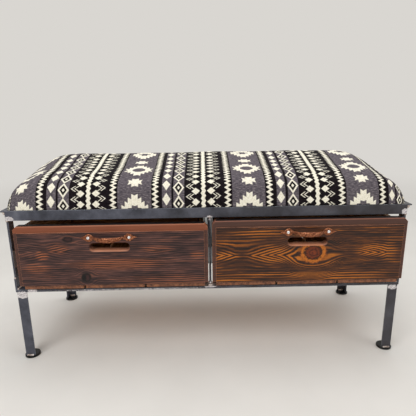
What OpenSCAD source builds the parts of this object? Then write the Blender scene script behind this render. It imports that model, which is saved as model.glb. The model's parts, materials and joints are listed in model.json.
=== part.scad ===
/* [Frame] */
// Length over the front rail
bench_w = 1016; // [900:1:1200]
// Depth over the front and back rails
bench_d = 355.6; // [354:0.1:420]
// Height of the top of the rails above the floor
rail_top = 417; // [412:1:450]
// Leg of the steel angle of the front and back rails
angle_w = 25.4; // [22:0.1:27]
// Thickness of all the steel angle
angle_t = 3.2; // [2.5:0.1:3.6]
// Leg of the lighter angle of the side rails
side_angle_w = 19; // [16:0.5:22]
// Underside of the lower rails above the floor
lower_z = 196; // [170:1:200]
// Thickness of the flat lower front and back rails
lower_bar_t = 6.4; // [5:0.1:8]
// Width of the flat lower front and back rails
lower_bar_w = 25.4; // [22:0.1:30]
// Height of the lower side bars, which stand on edge
side_bar_h = 31.8; // [25:0.1:36]
// Thickness of the posts, divider bars and lower side bars
bar_t = 4.8; // [4:0.1:6]
// Width of the posts and divider bars
post_w = 25.4; // [22:0.1:30]
// How far the divider stands to the right of the middle
divider_x = 5; // [0:1:10]
// Radius of the weld beads
bead_r = 4; // [3:0.5:5]
// Radius of the weld under the lips of the side rails
lip_weld_r = 7; // [5:0.5:9]

/* [Legs and feet] */
// Leg of the steel angle that makes the legs
leg_w = 25.4; // [22:0.1:30]
// How far the legs stand in from the ends of the lower rails
leg_inset = 3; // [1:0.5:8]
// Diameter of the round steel feet
foot_d = 40; // [38:1:50]
// Thickness of the round steel feet
foot_t = 5; // [4:0.5:8]
// Diameter of the pads under the feet
pad_d = 37.6; // [32:0.2:38]
// Thickness of the pads under the feet
pad_t = 2; // [1.5:0.5:4]

/* [Drawers] */
// Clear height between the lower rails and the drawers
drawer_lift = 11; // [8:0.5:14]
// Gap between the top rail and the left drawer front
left_top_gap = 10; // [8:0.5:12]
// Gap between the top rail and the right drawer front
right_top_gap = 4.6; // [3:0.1:7]
// Running gap between the frame and the back of the drawer fronts
front_gap = 0.5; // [0.3:0.1:2]
// Thickness of the drawer fronts at their border
front_t = 19; // [16:0.5:22]
// How far the field of a front stands proud of its border
field_t = 3; // [2:0.5:4]
// Height of the border above the field
field_top = 17; // [12:1:20]
// Width of the border beside the field
field_side = 9; // [7:0.5:12]
// Cut-off at the upper corners of a front
corner_cut = 9; // [5:1:12]
// Radius along the upper front edge of a front
edge_r = 4; // [2:0.5:6]
// Overhang of a front past its box, on the divider side
lap_in = 9.5; // [7:0.5:9.5]
// Overhang of a front past its box, on the post side
lap_out = 12; // [8:0.5:12]
// Thickness of the sides and back of the boxes
side_t = 12; // [10:0.5:14]
// Height of the sides of the boxes
side_h = 152; // [120:1:154]
// Middle of the slides, above the lower edge of the sides
slide_up = 65; // [50:1:80]
// Length of the boxes behind the front face of the frame
box_l = 340; // [330:1:345]
// Depth of the grooves that hold the sides in the fronts
groove_d = 6; // [4:0.5:8]
// Thickness of the bottom boards
bottom_t = 9.5; // [8:0.5:11]
// Open gap between the bottom boards
bottom_gap = 6; // [4:0.5:8]
// Length of the finger slots
slot_w = 99; // [90:1:120]
// Height of the finger slots
slot_h = 18; // [16:1:22]
// Radius of the rounded edge round a finger slot
slot_round = 5; // [2:0.5:6]
// Middle of a finger slot, down from the top of its front
slot_drop = 56; // [54:1:60]
// How far slots and pulls stand to the left of a front's middle
handle_off = 5; // [0:1:12]

/* [Pulls] */
// Middle of a pull, down from the top of its front
pull_drop = 31.2; // [29:0.2:33]
// Distance between the two screws of a pull
pull_pitch = 101.6; // [90:0.2:110]
// Length of a pull over its points
pull_l = 142; // [132:1:150]
// Height of the flattened ends of a pull
pull_end_h = 21; // [18:1:24]
// Thickness of the flattened ends
pull_end_t = 2.5; // [2:0.5:3]
// How far the bow of a pull stands off the front, at its middle line
pull_rise = 25; // [20:0.5:28]
// Height of the bow at its middle
bow_h = 13; // [10:0.5:15]
// Thickness of the bow at its middle
bow_t = 6; // [5:0.5:8]
// Radius of the pull screws
pull_screw_r = 2; // [1.5:0.1:2.4]
// Length of the pull screws
pull_screw_l = 16; // [12:1:18]

/* [Slides] */
// Length of the slides
slide_l = 350; // [340:1:352]
// Height of the slides
slide_h = 45; // [43:0.5:48]
// Thickness of the slides
slide_t = 12.7; // [12.5:0.1:13.5]
// Sheet thickness of the outer and inner members
sheet_t = 1.2; // [1.1:0.1:1.3]
// Diameter of the balls
ball_d = 3.2; // [3:0.1:3.3]
// Play between a ball and its track
ball_play = 0.05; // [0.03:0.01:0.08]
// Number of balls in a row
balls = 4; // [3:1:5]
// Length of the ball cages
cage_l = 160; // [140:1:164]
// Thickness of the packing strip behind the left slide
packer_t = 18; // [14:0.5:20]
// Radius of the slide screws
slide_screw_r = 2; // [1.6:0.1:2.2]

/* [Seat] */
// Thickness of the upholstery cover
cover_t = 1.5; // [1:0.1:2]
// Height of the seat at its crown, above the rails
crown_h = 117; // [100:1:130]
// Thickness of the seat board
seat_board_t = 12.7; // [12:0.1:16]
// How far the cover stays inside the outline of the rails
seat_inset = 1; // [0.5:0.5:3]
// Radius of the corners of the seat
seat_corner_r = 18; // [14:1:24]
// Height of the upright part of the seat's sides
seat_side_h = 58; // [50:1:66]
// Width of the round above the sides, front and back
side_round = 34; // [28:1:44]
// Width of the round above the sides at the ends
end_round = 48; // [36:1:56]
// Power of both rounds, 2 for a circle
seat_power = 2.2; // [2:0.1:2.6]
// Length over which the crown rises from each end
end_rise = 125; // [110:1:160]
// Power of the crown's rise from front and back, 1 for a straight slope
crown_power = 1.35; // [1.2:0.05:2]
// How far the top of the crown stands behind the front edge of the seat
crown_back = 200; // [180:1:215]
// Width of the cover folded under the board
cover_fold = 34; // [30:1:45]
// Radius of the seat screws
seat_screw_r = 2.1; // [1.8:0.1:2.4]

/* [Hidden] */

LEFT = 0;
RIGHT = 1;
FINE = 48;
LIP_FINE = 24;
through = 1;

// Depth of everything that stands in front of the frame
reach = front_gap + front_t + field_t + pull_rise + bow_t / 2;
face_y = (reach - bench_d) / 2;
back_y = face_y + bench_d;
mid_y = (face_y + back_y) / 2;

// Heights
angle_root = angle_t;
post_top = rail_top - angle_t - angle_root;
rail_bottom = rail_top - angle_w;
lower_top = lower_z + lower_bar_t;
post_foot = lower_top + side_bar_h;
drawer_z = lower_top + drawer_lift;
box_z = drawer_z + bottom_t;
slide_z = box_z + slide_up;
leg_foot = pad_t + foot_t;

// Widths
post_in = bench_w / 2 - bar_t;
side_rail_x = post_in - angle_t;
leg_x = bench_w / 2 - leg_inset;

// The two bays between the posts and the divider, less the packing strip
function front_top(bay) = rail_bottom - (bay == LEFT ? left_top_gap : right_top_gap);
function bay_x0(bay) = bay == LEFT ? -post_in + packer_t : divider_x + bar_t / 2;
function bay_x1(bay) = bay == LEFT ? divider_x - bar_t / 2 : post_in;
function box_x0(bay) = bay_x0(bay) + slide_t;
function box_x1(bay) = bay_x1(bay) - slide_t;
function front_x0(bay) = box_x0(bay) - (bay == LEFT ? lap_out : lap_in);
function front_x1(bay) = box_x1(bay) + (bay == LEFT ? lap_in : lap_out);
function handle_x(bay) = (front_x0(bay) + front_x1(bay)) / 2 - handle_off;

// Depths of the drawer parts
front_back = face_y - front_gap;
border_y = front_back - front_t;
field_y = border_y - field_t;
box_back = face_y + box_l;
wood_fit = 0.1;
hole_fit = 0.05;

// Places of the screws along the slides
post_mid_front = face_y + angle_t + post_w / 2;
post_mid_back = back_y - angle_t - post_w / 2;
slide_y = (face_y + back_y - slide_l) / 2;
screw_stagger = 8;
screw_from_front = 30;
screw_from_back = 40;
side_screw_front = slide_y + screw_from_front;
side_screw_back = box_back - screw_from_back;

// Ball tracks, measured from the back of the outer member and from the middle of the slide
track_r = ball_d / 2 + ball_play;
// The balls run this far from the side of the box
ball_from_side = 5.8;
ball_t = slide_t - ball_from_side;
outer_ball_h = slide_h / 2 - sheet_t - track_r;
inner_ball_h = outer_ball_h - sheet_t - 2 * track_r;
track_gap = 0.4;
web_t = 1;
web_gap = 1;
middle_web = sheet_t + web_gap;
cage_t = 0.4;
inner_cage_t = 0.34;
// Rim of a cage past its ball holes
cage_rim = 0.6;
cage_slack = 4;
cage_y = slide_y + slide_l / 4 + cage_slack;

// Places of the seat screws
seat_screw_y = angle_w * 0.6;
seat_screw_x = [-0.39, -0.15, 0.15, 0.39] * bench_w;

// Bars run along X or Y, with their outline in the plane across

module run_x(x0, len) {
    translate([x0, 0, 0]) rotate([90, 0, 90]) linear_extrude(len) children();
}

module run_y(y0, len) {
    translate([0, y0 + len, 0]) rotate([90, 0, 0]) linear_extrude(len) children();
}

module mirror_x(on = true) {
    mirror([on ? 1 : 0, 0, 0]) children();
}

// Everything that the back of the frame repeats from the front
module at_back(on = true) {
    translate([0, on ? 2 * mid_y : 0, 0]) mirror([0, on ? 1 : 0, 0]) children();
}

// Hot-rolled angle: outer corner at the origin, root fillet and rounded toes

module toe_waste(w) {
    toe = angle_t / 2;
    translate([w - toe, angle_t - toe]) difference() {
        square(toe + through);
        circle(r = toe, $fn = FINE);
    }
}

module angle_profile(w) {
    difference() {
        union() {
            square([w, angle_t]);
            square([angle_t, w]);
            square(angle_t + angle_root);
        }
        translate([angle_t + angle_root, angle_t + angle_root]) circle(r = angle_root, $fn = FINE);
        toe_waste(w);
        mirror([1, -1]) toe_waste(w);
    }
}

// Screws: head above the plane z = 0, shank below it

module pan_head(r, h) {
    round_r = h * 0.6;
    rotate_extrude($fn = FINE) {
        square([r - round_r, h]);
        square([r, h - round_r]);
        intersection() {
            translate([r - round_r, h - round_r]) circle(r = round_r, $fn = FINE);
            square([r, h]);
        }
    }
}

module pan_screw(r, len) {
    tip = r * 1.5;
    pan_head(r * 2, r);
    translate([0, 0, tip - len]) cylinder(r = r, h = len - tip, $fn = FINE);
    translate([0, 0, -len]) cylinder(r1 = r * 0.3, r2 = r, h = tip, $fn = FINE);
}

// Flat head that ends flush in a thin sheet
module flush_screw(r, len) {
    translate([0, 0, -sheet_t]) cylinder(r1 = r, r2 = r + sheet_t, h = sheet_t, $fn = FINE);
    translate([0, 0, -len]) cylinder(r = r, h = len - sheet_t, $fn = FINE);
}

// Frame

module long_rail() {
    color("dimgray") run_x(-bench_w / 2, bench_w)
        translate([face_y, rail_top]) mirror([0, 1]) angle_profile(angle_w);
}

module drilled_long_rail() {
    difference() {
        long_rail();
        for (x = seat_screw_x)
            translate([x, face_y + seat_screw_y, rail_top - 2 * angle_t])
                cylinder(r = seat_screw_r + hole_fit, h = 3 * angle_t, $fn = FINE);
    }
}

module front_top_rail() {
    drilled_long_rail();
}

module back_top_rail() {
    at_back() drilled_long_rail();
}

// The side rail's flat leg stands outwards. It is notched round the long rails, and only
// its lip runs on to their faces
module side_cope() {
    translate([side_rail_x - through, face_y - through, rail_top - angle_t])
        cube([bench_w / 2 - side_rail_x + through, angle_w + through, angle_t + through]);
    translate([side_rail_x - through, face_y - through, rail_top - side_angle_w - through])
        cube([bench_w / 2 - side_rail_x + through, angle_t + angle_root + through,
              side_angle_w + through]);
}

module right_top_rail() {
    color("dimgray") difference() {
        run_y(face_y, bench_d)
            translate([side_rail_x, rail_top]) mirror([0, 1]) angle_profile(side_angle_w);
        side_cope();
        at_back() side_cope();
    }
}

module left_top_rail() {
    mirror_x() right_top_rail();
}

module post_hole(x0, x1, y, z) {
    translate([x0 - through, y, z]) rotate([0, 90, 0])
        cylinder(r = slide_screw_r + hole_fit, h = x1 - x0 + 2 * through, $fn = FINE);
}

module front_right_post() {
    color("dimgray") difference() {
        translate([post_in, face_y + angle_t, post_foot]) cube([bar_t, post_w, post_top - post_foot]);
        post_hole(post_in, bench_w / 2, post_mid_front, slide_z);
    }
}

module front_left_post() {
    mirror_x() front_right_post();
}

module back_right_post() {
    at_back() front_right_post();
}

module back_left_post() {
    mirror_x() back_right_post();
}

module front_divider() {
    color("dimgray") difference() {
        translate([divider_x - bar_t / 2, face_y + angle_t, lower_top])
            cube([bar_t, post_w, post_top - lower_top]);
        for (s = [-1, 1])
            post_hole(divider_x - bar_t / 2, divider_x + bar_t / 2, post_mid_front,
                      slide_z + s * screw_stagger);
    }
}

module back_divider() {
    at_back() front_divider();
}

module front_lower_rail() {
    color("dimgray") translate([-bench_w / 2, face_y, lower_z])
        cube([bench_w, lower_bar_w, lower_bar_t]);
}

module back_lower_rail() {
    at_back() front_lower_rail();
}

module right_lower_bar() {
    color("dimgray") translate([post_in, face_y, lower_top]) cube([bar_t, bench_d, side_bar_h]);
}

module left_lower_bar() {
    mirror_x() right_lower_bar();
}

module front_left_leg() {
    color("slategray") translate([-leg_x, face_y, leg_foot])
        linear_extrude(lower_z - leg_foot) angle_profile(leg_w);
}

module front_right_leg() {
    mirror_x() front_left_leg();
}

module back_left_leg() {
    at_back() front_left_leg();
}

module back_right_leg() {
    mirror_x() back_left_leg();
}

module at_feet() {
    for (right = [false, true], back = [false, true])
        mirror_x(right) at_back(back)
            translate([-leg_x + leg_w / 2, face_y + leg_w / 2, 0]) children();
}

module foot_disc() {
    rim = foot_t * 0.4;
    rotate_extrude($fn = 2 * FINE) {
        square([foot_d / 2 - rim, foot_t]);
        square([foot_d / 2, foot_t - rim]);
        intersection() {
            translate([foot_d / 2 - rim, foot_t - rim]) circle(r = rim, $fn = FINE);
            square([foot_d / 2, foot_t]);
        }
    }
}

module foot_discs() {
    color("black") at_feet() translate([0, 0, pad_t]) foot_disc();
}

module foot_pads() {
    color("beige") at_feet() cylinder(d = pad_d, h = pad_t, $fn = 2 * FINE);
}

// Quarter-round bead along +X, in the corner towards +Y and +Z
module bead(len, r) {
    intersection() {
        cube([len, r, r]);
        rotate([0, 90, 0]) cylinder(r = r, h = len, $fn = FINE);
    }
}

// Hollow weld under the lip of a side rail, against the end of the long rail and the post
module lip_weld() {
    root = 0.6;
    translate([bench_w / 2, 0, rail_top - angle_t]) run_y(face_y, angle_t + post_w)
        difference() {
            mirror([0, 1]) square(lip_weld_r);
            translate([lip_weld_r + root, -lip_weld_r - root]) circle(r = lip_weld_r, $fn = FINE);
        }
}

module corner_beads() {
    lip_weld();
    // post under the rail
    translate([post_in, face_y + angle_t, rail_bottom]) mirror([0, 1, 0]) mirror([0, 0, 1])
        bead(bar_t, angle_t);
    // post on the lower side bar, before and behind it
    translate([post_in, face_y + angle_t, post_foot]) mirror([0, 1, 0]) bead(bar_t, angle_t);
    translate([post_in, face_y + angle_t + post_w, post_foot]) bead(bar_t, bead_r);
    // lower side bar on the lower rail
    translate([post_in, face_y + through, lower_top]) rotate([0, 0, 90])
        bead(lower_bar_w - 2 * through, bead_r);
    // leg under the lower rail
    translate([leg_x - leg_w + bead_r, face_y + angle_t, lower_z]) mirror([0, 0, 1])
        bead(leg_w - angle_t - angle_root - bead_r, bead_r);
    // leg on its foot, before and inside it
    translate([leg_x - leg_w + bead_r, face_y, leg_foot]) mirror([0, 1, 0])
        bead(leg_w - 2 * bead_r, angle_t);
    translate([leg_x - leg_w + bead_r, face_y + angle_t, leg_foot])
        bead(leg_w - angle_t - angle_root - bead_r, bead_r);
}

module divider_beads() {
    for (s = [false, true])
        translate([divider_x, 0, 0]) mirror_x(s)
            translate([bar_t / 2, face_y + lower_bar_w - through, lower_top]) rotate([0, 0, -90])
                bead(lower_bar_w - angle_t - through, bead_r);
    translate([divider_x - bar_t / 2, face_y + angle_t, rail_bottom]) mirror([0, 1, 0])
        mirror([0, 0, 1]) bead(bar_t, angle_t);
    translate([divider_x - bar_t / 2, face_y + angle_t, lower_top]) mirror([0, 1, 0])
        bead(bar_t, angle_t);
}

module weld_beads() {
    color("lightgray") for (back = [false, true]) at_back(back) {
        for (left = [false, true]) mirror_x(left) corner_beads();
        divider_beads();
    }
}

// Slides. Profiles have the thickness along X, from the back of the outer member,
// and the height along Y, from the middle

module track_half(h, up) {
    intersection() {
        translate([ball_t, h]) difference() {
            circle(r = track_r + sheet_t, $fn = FINE);
            circle(r = track_r, $fn = FINE);
        }
        translate([ball_t - 2 * track_r - sheet_t, up ? h + track_gap : h - track_gap - slide_h])
            square([2 * (2 * track_r + sheet_t), slide_h]);
    }
}

module outer_member_half() {
    square([sheet_t, slide_h / 2]);
    translate([0, slide_h / 2 - sheet_t]) square([ball_t, sheet_t]);
    track_half(outer_ball_h, true);
}

module middle_member_half() {
    strip = inner_ball_h + track_r;
    translate([middle_web, 0]) square([web_t, strip + sheet_t]);
    translate([middle_web, strip]) square([ball_t - middle_web, sheet_t]);
    track_half(outer_ball_h, false);
    track_half(inner_ball_h, true);
}

module inner_member_half() {
    strip = inner_ball_h - track_r - sheet_t;
    translate([slide_t - sheet_t, 0]) square([sheet_t, strip + sheet_t]);
    translate([ball_t, strip]) square([slide_t - ball_t, sheet_t]);
    track_half(inner_ball_h, false);
}

module both_halves() {
    children();
    mirror([0, 1]) children();
}

// The two slides of a bay, the right one turned round
module at_slides(bay) {
    translate([bay_x0(bay), 0, slide_z]) children();
    translate([bay_x1(bay), 0, slide_z]) mirror_x() children();
}

module slide_screw_at(y, len, z = 0) {
    translate([sheet_t, y, z]) rotate([0, 90, 0]) flush_screw(slide_screw_r, len);
}

// Screws of an outer member: [y, z, length]. In the left bay the left slide's screws
// also pass the packing strip, and at the divider the two slides use different heights
function outer_screws(bay, at_divider) =
    let (pack = bay == LEFT && !at_divider ? packer_t : 0)
    let (z = !at_divider ? 0 : bay == LEFT ? screw_stagger : -screw_stagger)
    [for (y = [post_mid_front, post_mid_back]) [y, z, sheet_t + pack + bar_t]];

module outer_member(bay, at_divider) {
    difference() {
        run_y(slide_y, slide_l) both_halves() outer_member_half();
        for (s = outer_screws(bay, at_divider)) {
            translate([-through, s[0], s[1]]) rotate([0, 90, 0])
                cylinder(r = slide_screw_r + hole_fit, h = sheet_t + 2 * through, $fn = FINE);
            translate([0, s[0], s[1]]) rotate([0, 90, 0])
                cylinder(r1 = slide_screw_r + hole_fit, r2 = slide_screw_r + sheet_t + hole_fit,
                         h = sheet_t, $fn = FINE);
        }
    }
}

module outer_screw_set(bay, at_divider) {
    for (s = outer_screws(bay, at_divider)) slide_screw_at(s[0], s[2], s[1]);
}

module outer_slides(bay) {
    color("silver") {
        translate([bay_x0(bay), 0, slide_z]) outer_member(bay, bay == RIGHT);
        translate([bay_x1(bay), 0, slide_z]) mirror_x() outer_member(bay, bay == LEFT);
    }
}

module left_outer_slides() {
    outer_slides(LEFT);
}

module right_outer_slides() {
    outer_slides(RIGHT);
}

module outer_slide_screws() {
    color("gray") for (bay = [LEFT, RIGHT]) {
        translate([bay_x0(bay), 0, slide_z]) outer_screw_set(bay, bay == RIGHT);
        translate([bay_x1(bay), 0, slide_z]) mirror_x() outer_screw_set(bay, bay == LEFT);
    }
}

module packing_strip() {
    color("burlywood") difference() {
        translate([-post_in, slide_y, slide_z - slide_h / 2]) cube([packer_t, slide_l, slide_h]);
        for (y = [post_mid_front, post_mid_back])
            post_hole(-post_in, -post_in + packer_t, y, slide_z);
    }
}

module middle_slides(bay) {
    color("silver") at_slides(bay) run_y(slide_y, slide_l) both_halves() middle_member_half();
}

module left_middle_slides() {
    middle_slides(LEFT);
}

module right_middle_slides() {
    middle_slides(RIGHT);
}

// A cage is a thin channel with a row of balls along each edge
module cage(ball_h, web, t) {
    pitch = cage_l / balls;
    color("gainsboro") difference() {
        run_y(cage_y, cage_l) both_halves() {
            translate([web, 0]) square([t, ball_h + t / 2]);
            translate([web, ball_h - t / 2]) square([ball_t + track_r + cage_rim - web, t]);
        }
        for (i = [0:balls - 1], s = [-1, 1])
            translate([ball_t, cage_y + (i + 0.5) * pitch, s * ball_h])
                cylinder(r = track_r, h = 3 * t, center = true, $fn = FINE);
    }
    color("silver") for (i = [0:balls - 1], s = [-1, 1])
        translate([ball_t, cage_y + (i + 0.5) * pitch, s * ball_h]) sphere(d = ball_d, $fn = FINE);
}

module outer_cages(bay) {
    at_slides(bay) cage(outer_ball_h, sheet_t + (web_gap - cage_t) / 2, cage_t);
}

module inner_cages(bay) {
    legs_t = ball_t - track_r - sheet_t;
    web_end = middle_web + web_t;
    at_slides(bay) cage(inner_ball_h, (web_end + legs_t - inner_cage_t) / 2, inner_cage_t);
}

module left_outer_cages() {
    outer_cages(LEFT);
}

module right_outer_cages() {
    outer_cages(RIGHT);
}

module left_inner_cages() {
    inner_cages(LEFT);
}

module right_inner_cages() {
    inner_cages(RIGHT);
}

module at_side_screws() {
    for (y = [side_screw_front, side_screw_back])
        translate([slide_t - sheet_t, y, 0]) rotate([0, -90, 0]) children();
}

module inner_slides(bay) {
    color("silver") at_slides(bay) difference() {
        run_y(slide_y, slide_l) both_halves() inner_member_half();
        at_side_screws()
            cylinder(r = slide_screw_r + hole_fit, h = 4 * sheet_t, center = true, $fn = FINE);
    }
}

module inner_slide_screws(bay) {
    color("gray") at_slides(bay) at_side_screws() pan_screw(slide_screw_r, sheet_t + side_t * 0.75);
}

// Drawer boxes

module side_screw_holes(bay) {
    at_slides(bay) at_side_screws() mirror([0, 0, 1])
        cylinder(r = slide_screw_r + hole_fit, h = sheet_t + side_t * 0.75 + hole_fit, $fn = FINE);
}

module box_side(bay, x0) {
    y0 = front_back - groove_d + wood_fit;
    color("peru") difference() {
        translate([x0, y0, box_z]) cube([side_t, box_back - y0, side_h]);
        side_screw_holes(bay);
    }
}

module box_back(bay) {
    color("peru") translate([box_x0(bay) + side_t, box_back - side_t, box_z])
        cube([box_x1(bay) - box_x0(bay) - 2 * side_t, side_t, side_h]);
}

module bottom_boards(bay) {
    count = 3;
    board_w = (box_x1(bay) - box_x0(bay) - (count - 1) * bottom_gap) / count;
    color("sienna") for (i = [0:count - 1])
        translate([box_x0(bay) + i * (board_w + bottom_gap), border_y, drawer_z])
            cube([board_w, box_back - border_y, bottom_t]);
}

// Outline of a front seen from ahead, with its upper corners cut off
module front_outline(bay) {
    x0 = front_x0(bay);
    x1 = front_x1(bay);
    top = front_top(bay);
    polygon([
        [x0, box_z], [x1, box_z], [x1, top - corner_cut], [x1 - corner_cut, top],
        [x0 + corner_cut, top], [x0, top - corner_cut]
    ]);
}

// Section of a front across its length, with its upper front edge rounded
module front_section(bay) {
    top = front_top(bay);
    difference() {
        translate([border_y, box_z]) square([front_t, top - box_z]);
        translate([border_y - through, top - edge_r]) difference() {
            square([edge_r + through, edge_r + through]);
            translate([edge_r + through, 0]) circle(r = edge_r, $fn = FINE);
        }
    }
}

// Section of the rounded edge of a slot: distance from the slot's middle line, and depth behind the field
module slot_lip() {
    difference() {
        translate([0, -through]) square([slot_h / 2 + slot_round, slot_round + through]);
        translate([slot_h / 2 + slot_round, slot_round]) circle(r = slot_round, $fn = LIP_FINE);
    }
}

module slot_cut(bay) {
    y0 = field_y - through;
    len = front_t + field_t + 2 * through;
    end_x = (slot_w - slot_h) / 2;
    z = front_top(bay) - slot_drop;
    translate([handle_x(bay), 0, z]) run_y(y0, len) {
        square([2 * end_x, slot_h], center = true);
        for (s = [-1, 1]) translate([s * end_x, 0]) circle(d = slot_h, $fn = FINE);
    }
    run_x(handle_x(bay) - end_x, 2 * end_x) translate([field_y, z]) {
        mirror([1, -1]) slot_lip();
        mirror([0, 1]) mirror([1, -1]) slot_lip();
    }
    for (s = [-1, 1])
        translate([handle_x(bay) + s * end_x, field_y, z])
            rotate([-90, 0, 0]) rotate_extrude($fn = FINE) slot_lip();
}

module at_pull_screws(bay) {
    for (s = [-1, 1])
        translate([handle_x(bay) + s * pull_pitch / 2, field_y - pull_end_t, front_top(bay) - pull_drop])
            rotate([90, 0, 0]) children();
}

module drawer_front(bay) {
    color("saddlebrown") difference() {
        union() {
            intersection() {
                run_y(border_y, front_t) front_outline(bay);
                run_x(front_x0(bay), front_x1(bay) - front_x0(bay)) front_section(bay);
            }
            translate([front_x0(bay) + field_side, field_y, box_z])
                cube([front_x1(bay) - front_x0(bay) - 2 * field_side, field_t,
                      front_top(bay) - field_top - box_z]);
        }
        slot_cut(bay);
        for (x = [box_x0(bay), box_x1(bay) - side_t])
            translate([x - wood_fit, front_back - groove_d, box_z - through])
                cube([side_t + 2 * wood_fit, groove_d + through, side_h + wood_fit + through]);
        at_pull_screws(bay) mirror([0, 0, 1])
            cylinder(r = pull_screw_r + hole_fit, h = pull_screw_l + hole_fit, $fn = FINE);
    }
}

// Forged pull: flattened pointed ends and a bow that swells towards its middle

// The bow's feet stand this share of an end's height inwards from the screws
foot_share = 0.62;
bow_reach = pull_pitch / 2 - pull_end_h * foot_share;
bow_steps = 20;
bow_sides = 12;
// Fullness of the bow's curve, 2 for a parabola
bow_power = 2.4;
// The bow's feet run this much further into the ends
foot_run = 1.06;
// Half the height and half the thickness of the feet
foot_h = pull_end_h * 0.16;
foot_half_t = pull_end_t * 0.48;

// Half the height of a flattened end, for u from 0 at its inner point to 1 at its tip
function end_half(u) =
    let (neck = 0.35, peak = 0.4)
    pull_end_h / 2 * (u < peak ? neck + (1 - neck) * sin(90 * u / peak)
                               : pow((1 - u) / (1 - peak), 1.4) + 0.03);

module pull_end() {
    len = pull_l / 2 - bow_reach;
    steps = 16;
    difference() {
        rotate([90, 0, 0]) linear_extrude(pull_end_t) polygon(concat(
            [for (i = [0:steps]) [bow_reach + len * i / steps, end_half(i / steps)]],
            [for (i = [steps:-1:0]) [bow_reach + len * i / steps, -end_half(i / steps)]]
        ));
        translate([pull_pitch / 2, 0, 0]) rotate([90, 0, 0])
            cylinder(r = pull_screw_r + hole_fit, h = 4 * pull_end_t, center = true, $fn = FINE);
    }
}

// Middle line of the bow for u from -1 to 1: [x, distance from the front]
function bow_line(u) =
    let (root_y = pull_end_t / 2, rise = pull_rise - root_y)
    [bow_reach * foot_run * u, root_y + rise * (1 - pow(abs(u), bow_power))];

function bow_ring(u) =
    let (c = bow_line(u))
    let (d = bow_line(u + 0.01) - bow_line(u - 0.01))
    let (n = [-d[1], d[0]] / norm(d))
    let (swell = 1 - pow(abs(u), 2))
    let (h = foot_h + (bow_h / 2 - foot_h) * swell)
    let (t = foot_half_t + (bow_t / 2 - foot_half_t) * swell)
    [for (j = [0:bow_sides - 1])
        let (a = 360 * j / bow_sides)
        [c[0] + n[0] * t * cos(a), -(c[1] + n[1] * t * cos(a)), h * sin(a)]];

module pull_bow() {
    rings = [for (i = [0:bow_steps]) bow_ring(2 * i / bow_steps - 1)];
    points = [for (r = rings) each r];
    sides = [
        for (i = [0:bow_steps - 1], j = [0:bow_sides - 1])
            let (a = i * bow_sides + j)
            let (b = i * bow_sides + (j + 1) % bow_sides)
            each [[a, b, b + bow_sides], [a, b + bow_sides, a + bow_sides]]
    ];
    first = [for (j = [bow_sides - 1:-1:0]) j];
    last = [for (j = [0:bow_sides - 1]) bow_steps * bow_sides + j];
    polyhedron(points, concat([first, last], sides));
}

module pull(bay) {
    color("sienna") translate([handle_x(bay), field_y, front_top(bay) - pull_drop]) {
        pull_end();
        mirror_x() pull_end();
        pull_bow();
    }
}

module pull_screws(bay) {
    color("white") at_pull_screws(bay) pan_screw(pull_screw_r, pull_screw_l);
}

module left_front() {
    drawer_front(LEFT);
}

module right_front() {
    drawer_front(RIGHT);
}

module left_box_left_side() {
    box_side(LEFT, box_x0(LEFT));
}

module left_box_right_side() {
    box_side(LEFT, box_x1(LEFT) - side_t);
}

module right_box_left_side() {
    box_side(RIGHT, box_x0(RIGHT));
}

module right_box_right_side() {
    box_side(RIGHT, box_x1(RIGHT) - side_t);
}

// Seat. Rings of a rounded rectangle step inwards from the edge, and rise by a rule

seat_hx = bench_w / 2 - seat_inset;
seat_hy = bench_d / 2 - seat_inset;
ring_insets = [0, 0.003, 0.012, 0.035, 0.075, 0.14, 0.24, 0.38, 0.54, 0.7, 0.87, 0.97];
// How far the sides draw in at the bottom edge
tuck = 0.8;
// Gap between the edge of the board and the cover
board_play = 1.5;
arc_steps = 4;
long_steps = 7;
short_steps = 3;

// Share of the side's height at the distance d from an edge, over the width a of its round
function rise(d, a) =
    let (u = max(0, 1 - max(d, 0) / a))
    pow(max(0, 1 - pow(u, seat_power)), 1 / seat_power);

// Share of the crown's height at the distance d from an edge, over the length a
function swell(d, a, power) = 1 - pow(max(0, 1 - max(d, 0) / a), power);

// The ends are round as they rise to the crown
end_power = 2;

function seat_height(x, y, shrink) =
    let (hx = seat_hx - shrink, hy = seat_hy - shrink, front = crown_back - shrink)
    let (side = (seat_side_h - shrink) * rise(hx - abs(x), end_round) * rise(hy - abs(y), side_round))
    let (up = y + hy < front ? swell(y + hy, front, crown_power)
                             : swell(hy - y, 2 * hy - front, crown_power))
    side + (crown_h - seat_side_h - shrink) * swell(hx - abs(x), end_rise, end_power) * up;

// Straight run from a to b, without b
function run(a, b, n) = [for (i = [0:n - 1]) a + (b - a) * i / n];

// Outline of the seat, drawn in by d
function seat_outline(d, shrink) =
    let (hx = seat_hx - shrink - d, hy = seat_hy - shrink - d)
    let (r = max(min(seat_corner_r, hy * 0.9) * (1 - d / seat_hy), 0.5))
    let (cx = hx - r, cy = hy - r)
    let (arc = function(x, y, from) [for (i = [0:arc_steps - 1])
        [x + r * cos(from + 90 * i / arc_steps), y + r * sin(from + 90 * i / arc_steps)]])
    concat(
        arc(cx, cy, 0), run([cx, hy], [-cx, hy], long_steps),
        arc(-cx, cy, 90), run([-hx, cy], [-hx, -cy], short_steps),
        arc(-cx, -cy, 180), run([-cx, -hy], [cx, -hy], long_steps),
        arc(cx, -cy, 270), run([hx, -cy], [hx, cy], short_steps)
    );

// A ring closed by a strip of triangles across it, from its right end to its left.
// The middle of the right short run lies between the last points of the outline
function strip(from, m) =
    let (middle = m - (short_steps - 1) / 2)
    [for (k = [0:m / 2 - 2])
        let (a = from + (middle + k) % m, a2 = from + (middle + k + 1) % m)
        let (b = from + middle - 1 - k)
        each [[b, b - 1, a2], [b, a2, a]]];

function flipped(faces) = [for (f = faces) [f[2], f[1], f[0]]];

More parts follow.
